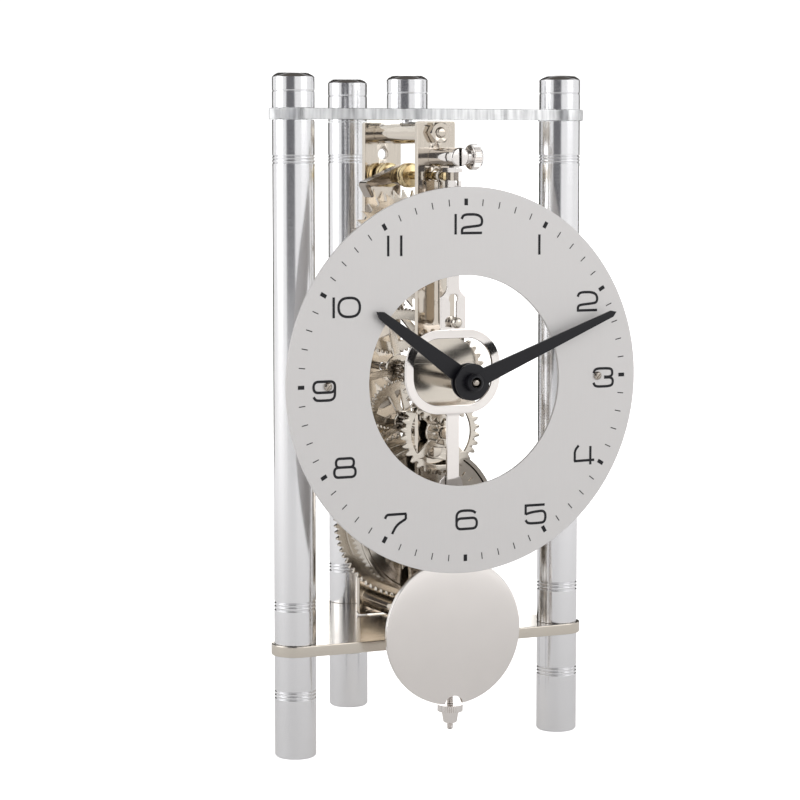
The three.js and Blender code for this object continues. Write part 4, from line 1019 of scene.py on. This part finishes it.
def floor_plane(name, colour, glow, painted_shadow_glow):
    """A floor that glows, and beside the clock glows only by the given share of what it does 0.75 m away: a
    painted shadow round the clock where that share is below 1.
    """
    mesh = bpy.data.meshes.new(name)
    mesh.from_pydata([(x * FLOOR_HALF, y * FLOOR_HALF, 0) for x, y in CORNER_SIGNS], [], [(0, 1, 2, 3)])
    plane = bpy.data.objects.new(name, mesh)
    bpy.context.scene.collection.objects.link(plane)
    material, surface = shader(name, colour, 0, 0.7)
    surface.inputs["Emission Strength"].default_value = glow
    nodes, links = material.node_tree.nodes, material.node_tree.links
    coordinates = nodes.new("ShaderNodeTexCoord")
    distance = nodes.new("ShaderNodeVectorMath")
    distance.operation = "LENGTH"
    links.new(coordinates.outputs["Object"], distance.inputs[0])
    ramp = nodes.new("ShaderNodeValToRGB")
    ramp.color_ramp.elements[0].position = 0.1
    ramp.color_ramp.elements[1].position = 0.75
    ramp.color_ramp.elements[0].color = (painted_shadow_glow, painted_shadow_glow, painted_shadow_glow, 1)
    links.new(distance.outputs["Value"], ramp.inputs["Fac"])
    links.new(ramp.outputs["Color"], surface.inputs["Emission Color"])
    mesh.materials.append(material)
    plane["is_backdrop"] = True
    return plane


# The white floor that is seen, and a greyer, shaded copy of it that the polished metal shows and the light
# comes off, with a painted shadow round the clock where it glows only half as much
seen_floor = floor_plane("seen_floor", (0.9, 0.9, 0.9), 0.5, 1)
seen_floor.visible_glossy = False
seen_floor.visible_diffuse = False
# Painted shadow: this floor glows half as much beside the clock as it does 0.75 m away
shaded_mirrored_floor = floor_plane("shaded_mirrored_floor", (0.76, 0.75, 0.745), 0.5, 0.5)
shaded_mirrored_floor.visible_camera = False
shaded_mirrored_floor.visible_transmission = False
shaded_mirrored_floor.visible_shadow = False

world = bpy.data.worlds.new("studio")
world.use_nodes = True
world_nodes, world_links = world.node_tree.nodes, world.node_tree.links
direction = world_nodes.new("ShaderNodeTexCoord")
split = world_nodes.new("ShaderNodeSeparateXYZ")
sky = world_nodes.new("ShaderNodeValToRGB")
world_links.new(direction.outputs["Generated"], split.inputs["Vector"])
world_links.new(split.outputs["Z"], sky.inputs["Fac"])
world_links.new(sky.outputs["Color"], world_nodes["Background"].inputs["Color"])
# Pale walls up to a height of 0.6, then a warm dark ceiling overhead
sky.color_ramp.elements[0].position = 0.6
sky.color_ramp.elements[0].color = (1, 1, 1, 1)
sky.color_ramp.elements[1].position = 0.86
sky.color_ramp.elements[1].color = (0.11, 0.1, 0.09, 1)
world_nodes["Background"].inputs["Strength"].default_value = 0.92
bpy.context.scene.world = world


def softbox(name, angle, distance, height, size, power):
    data = bpy.data.lights.new(name, "AREA")
    data.shape = "RECTANGLE"
    data.size, data.size_y = size
    data.energy = power
    light = bpy.data.objects.new(name, data)
    light.location = round_the_clock(angle, distance, height)
    aim = Vector((0, 0, 0.1)) - light.location
    light.rotation_mode = "QUATERNION"
    light.rotation_quaternion = aim.to_track_quat("-Z", "Y")
    bpy.context.scene.collection.objects.link(light)


softbox("left_softbox", -78, 1.4, 0.6, (1.1, 1.1), 4.5)
softbox("right_softbox", 62, 1.4, 0.7, (1.0, 1.0), 3.2)
softbox("back_softbox", 172, 1.7, 0.5, (1.6, 1.0), 6)


def flag(name, angle, distance, width, height, colour):
    """A dark card beside the set. It shows in polished metal and nowhere else."""
    centre = round_the_clock(angle, distance, 0)
    side = Vector((-centre.y, centre.x, 0)).normalized() * width / 2
    mesh = bpy.data.meshes.new(name)
    corners = [centre - side, centre + side, centre + side, centre - side]
    mesh.from_pydata([(p.x, p.y, z) for p, z in zip(corners, (0.01, 0.01, height, height))],
                     [], [(0, 1, 2, 3)])
    card = bpy.data.objects.new(name, mesh)
    bpy.context.scene.collection.objects.link(card)
    material, _ = shader(name, colour, 0, 1, Specular_IOR_Level=0)
    mesh.materials.append(material)
    card.visible_camera = False
    card.visible_diffuse = False
    card.visible_shadow = False
    card.visible_transmission = False
    card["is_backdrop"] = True


flag("flag_front", -14, 1.5, 1.25, 1.6, (0.12, 0.12, 0.13))
flag("flag_back_left", -155, 0.6, 0.4, 0.9, (0.05, 0.045, 0.04))
flag("flag_back_right", 155, 0.6, 0.4, 0.9, (0.05, 0.045, 0.04))

# A white backdrop all round, which only the camera sees
bpy.ops.mesh.primitive_uv_sphere_add(segments=48, ring_count=24, radius=28)
backdrop = bpy.context.object
backdrop.name = "backdrop"
backdrop_material, backdrop_surface = shader("backdrop", (0, 0, 0), 0, 1, Specular_IOR_Level=0.0)
backdrop_surface.inputs["Emission Color"].default_value = (1, 1, 1, 1)
backdrop_surface.inputs["Emission Strength"].default_value = 1.1
backdrop.data.materials.append(backdrop_material)
backdrop.visible_diffuse = False
backdrop.visible_glossy = False
backdrop.visible_shadow = False
backdrop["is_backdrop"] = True

camera_data = bpy.data.cameras.new("camera")
camera_data.sensor_width = SENSOR_WIDTH
camera_data.lens = FOCAL_PIXELS * SENSOR_WIDTH / IMAGE_PIXELS
camera_data.clip_start, camera_data.clip_end = 0.05, 60
camera = bpy.data.objects.new("camera", camera_data)
camera.location = to_row(-330.0, -686.4, 173.2)
camera.rotation_euler = (math.pi / 2 + VIEW_PITCH, 0, -VIEW_YAW)
bpy.context.scene.collection.objects.link(camera)
bpy.context.scene.camera = camera
bpy.context.scene.view_settings.view_transform = "Standard"

low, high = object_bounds()
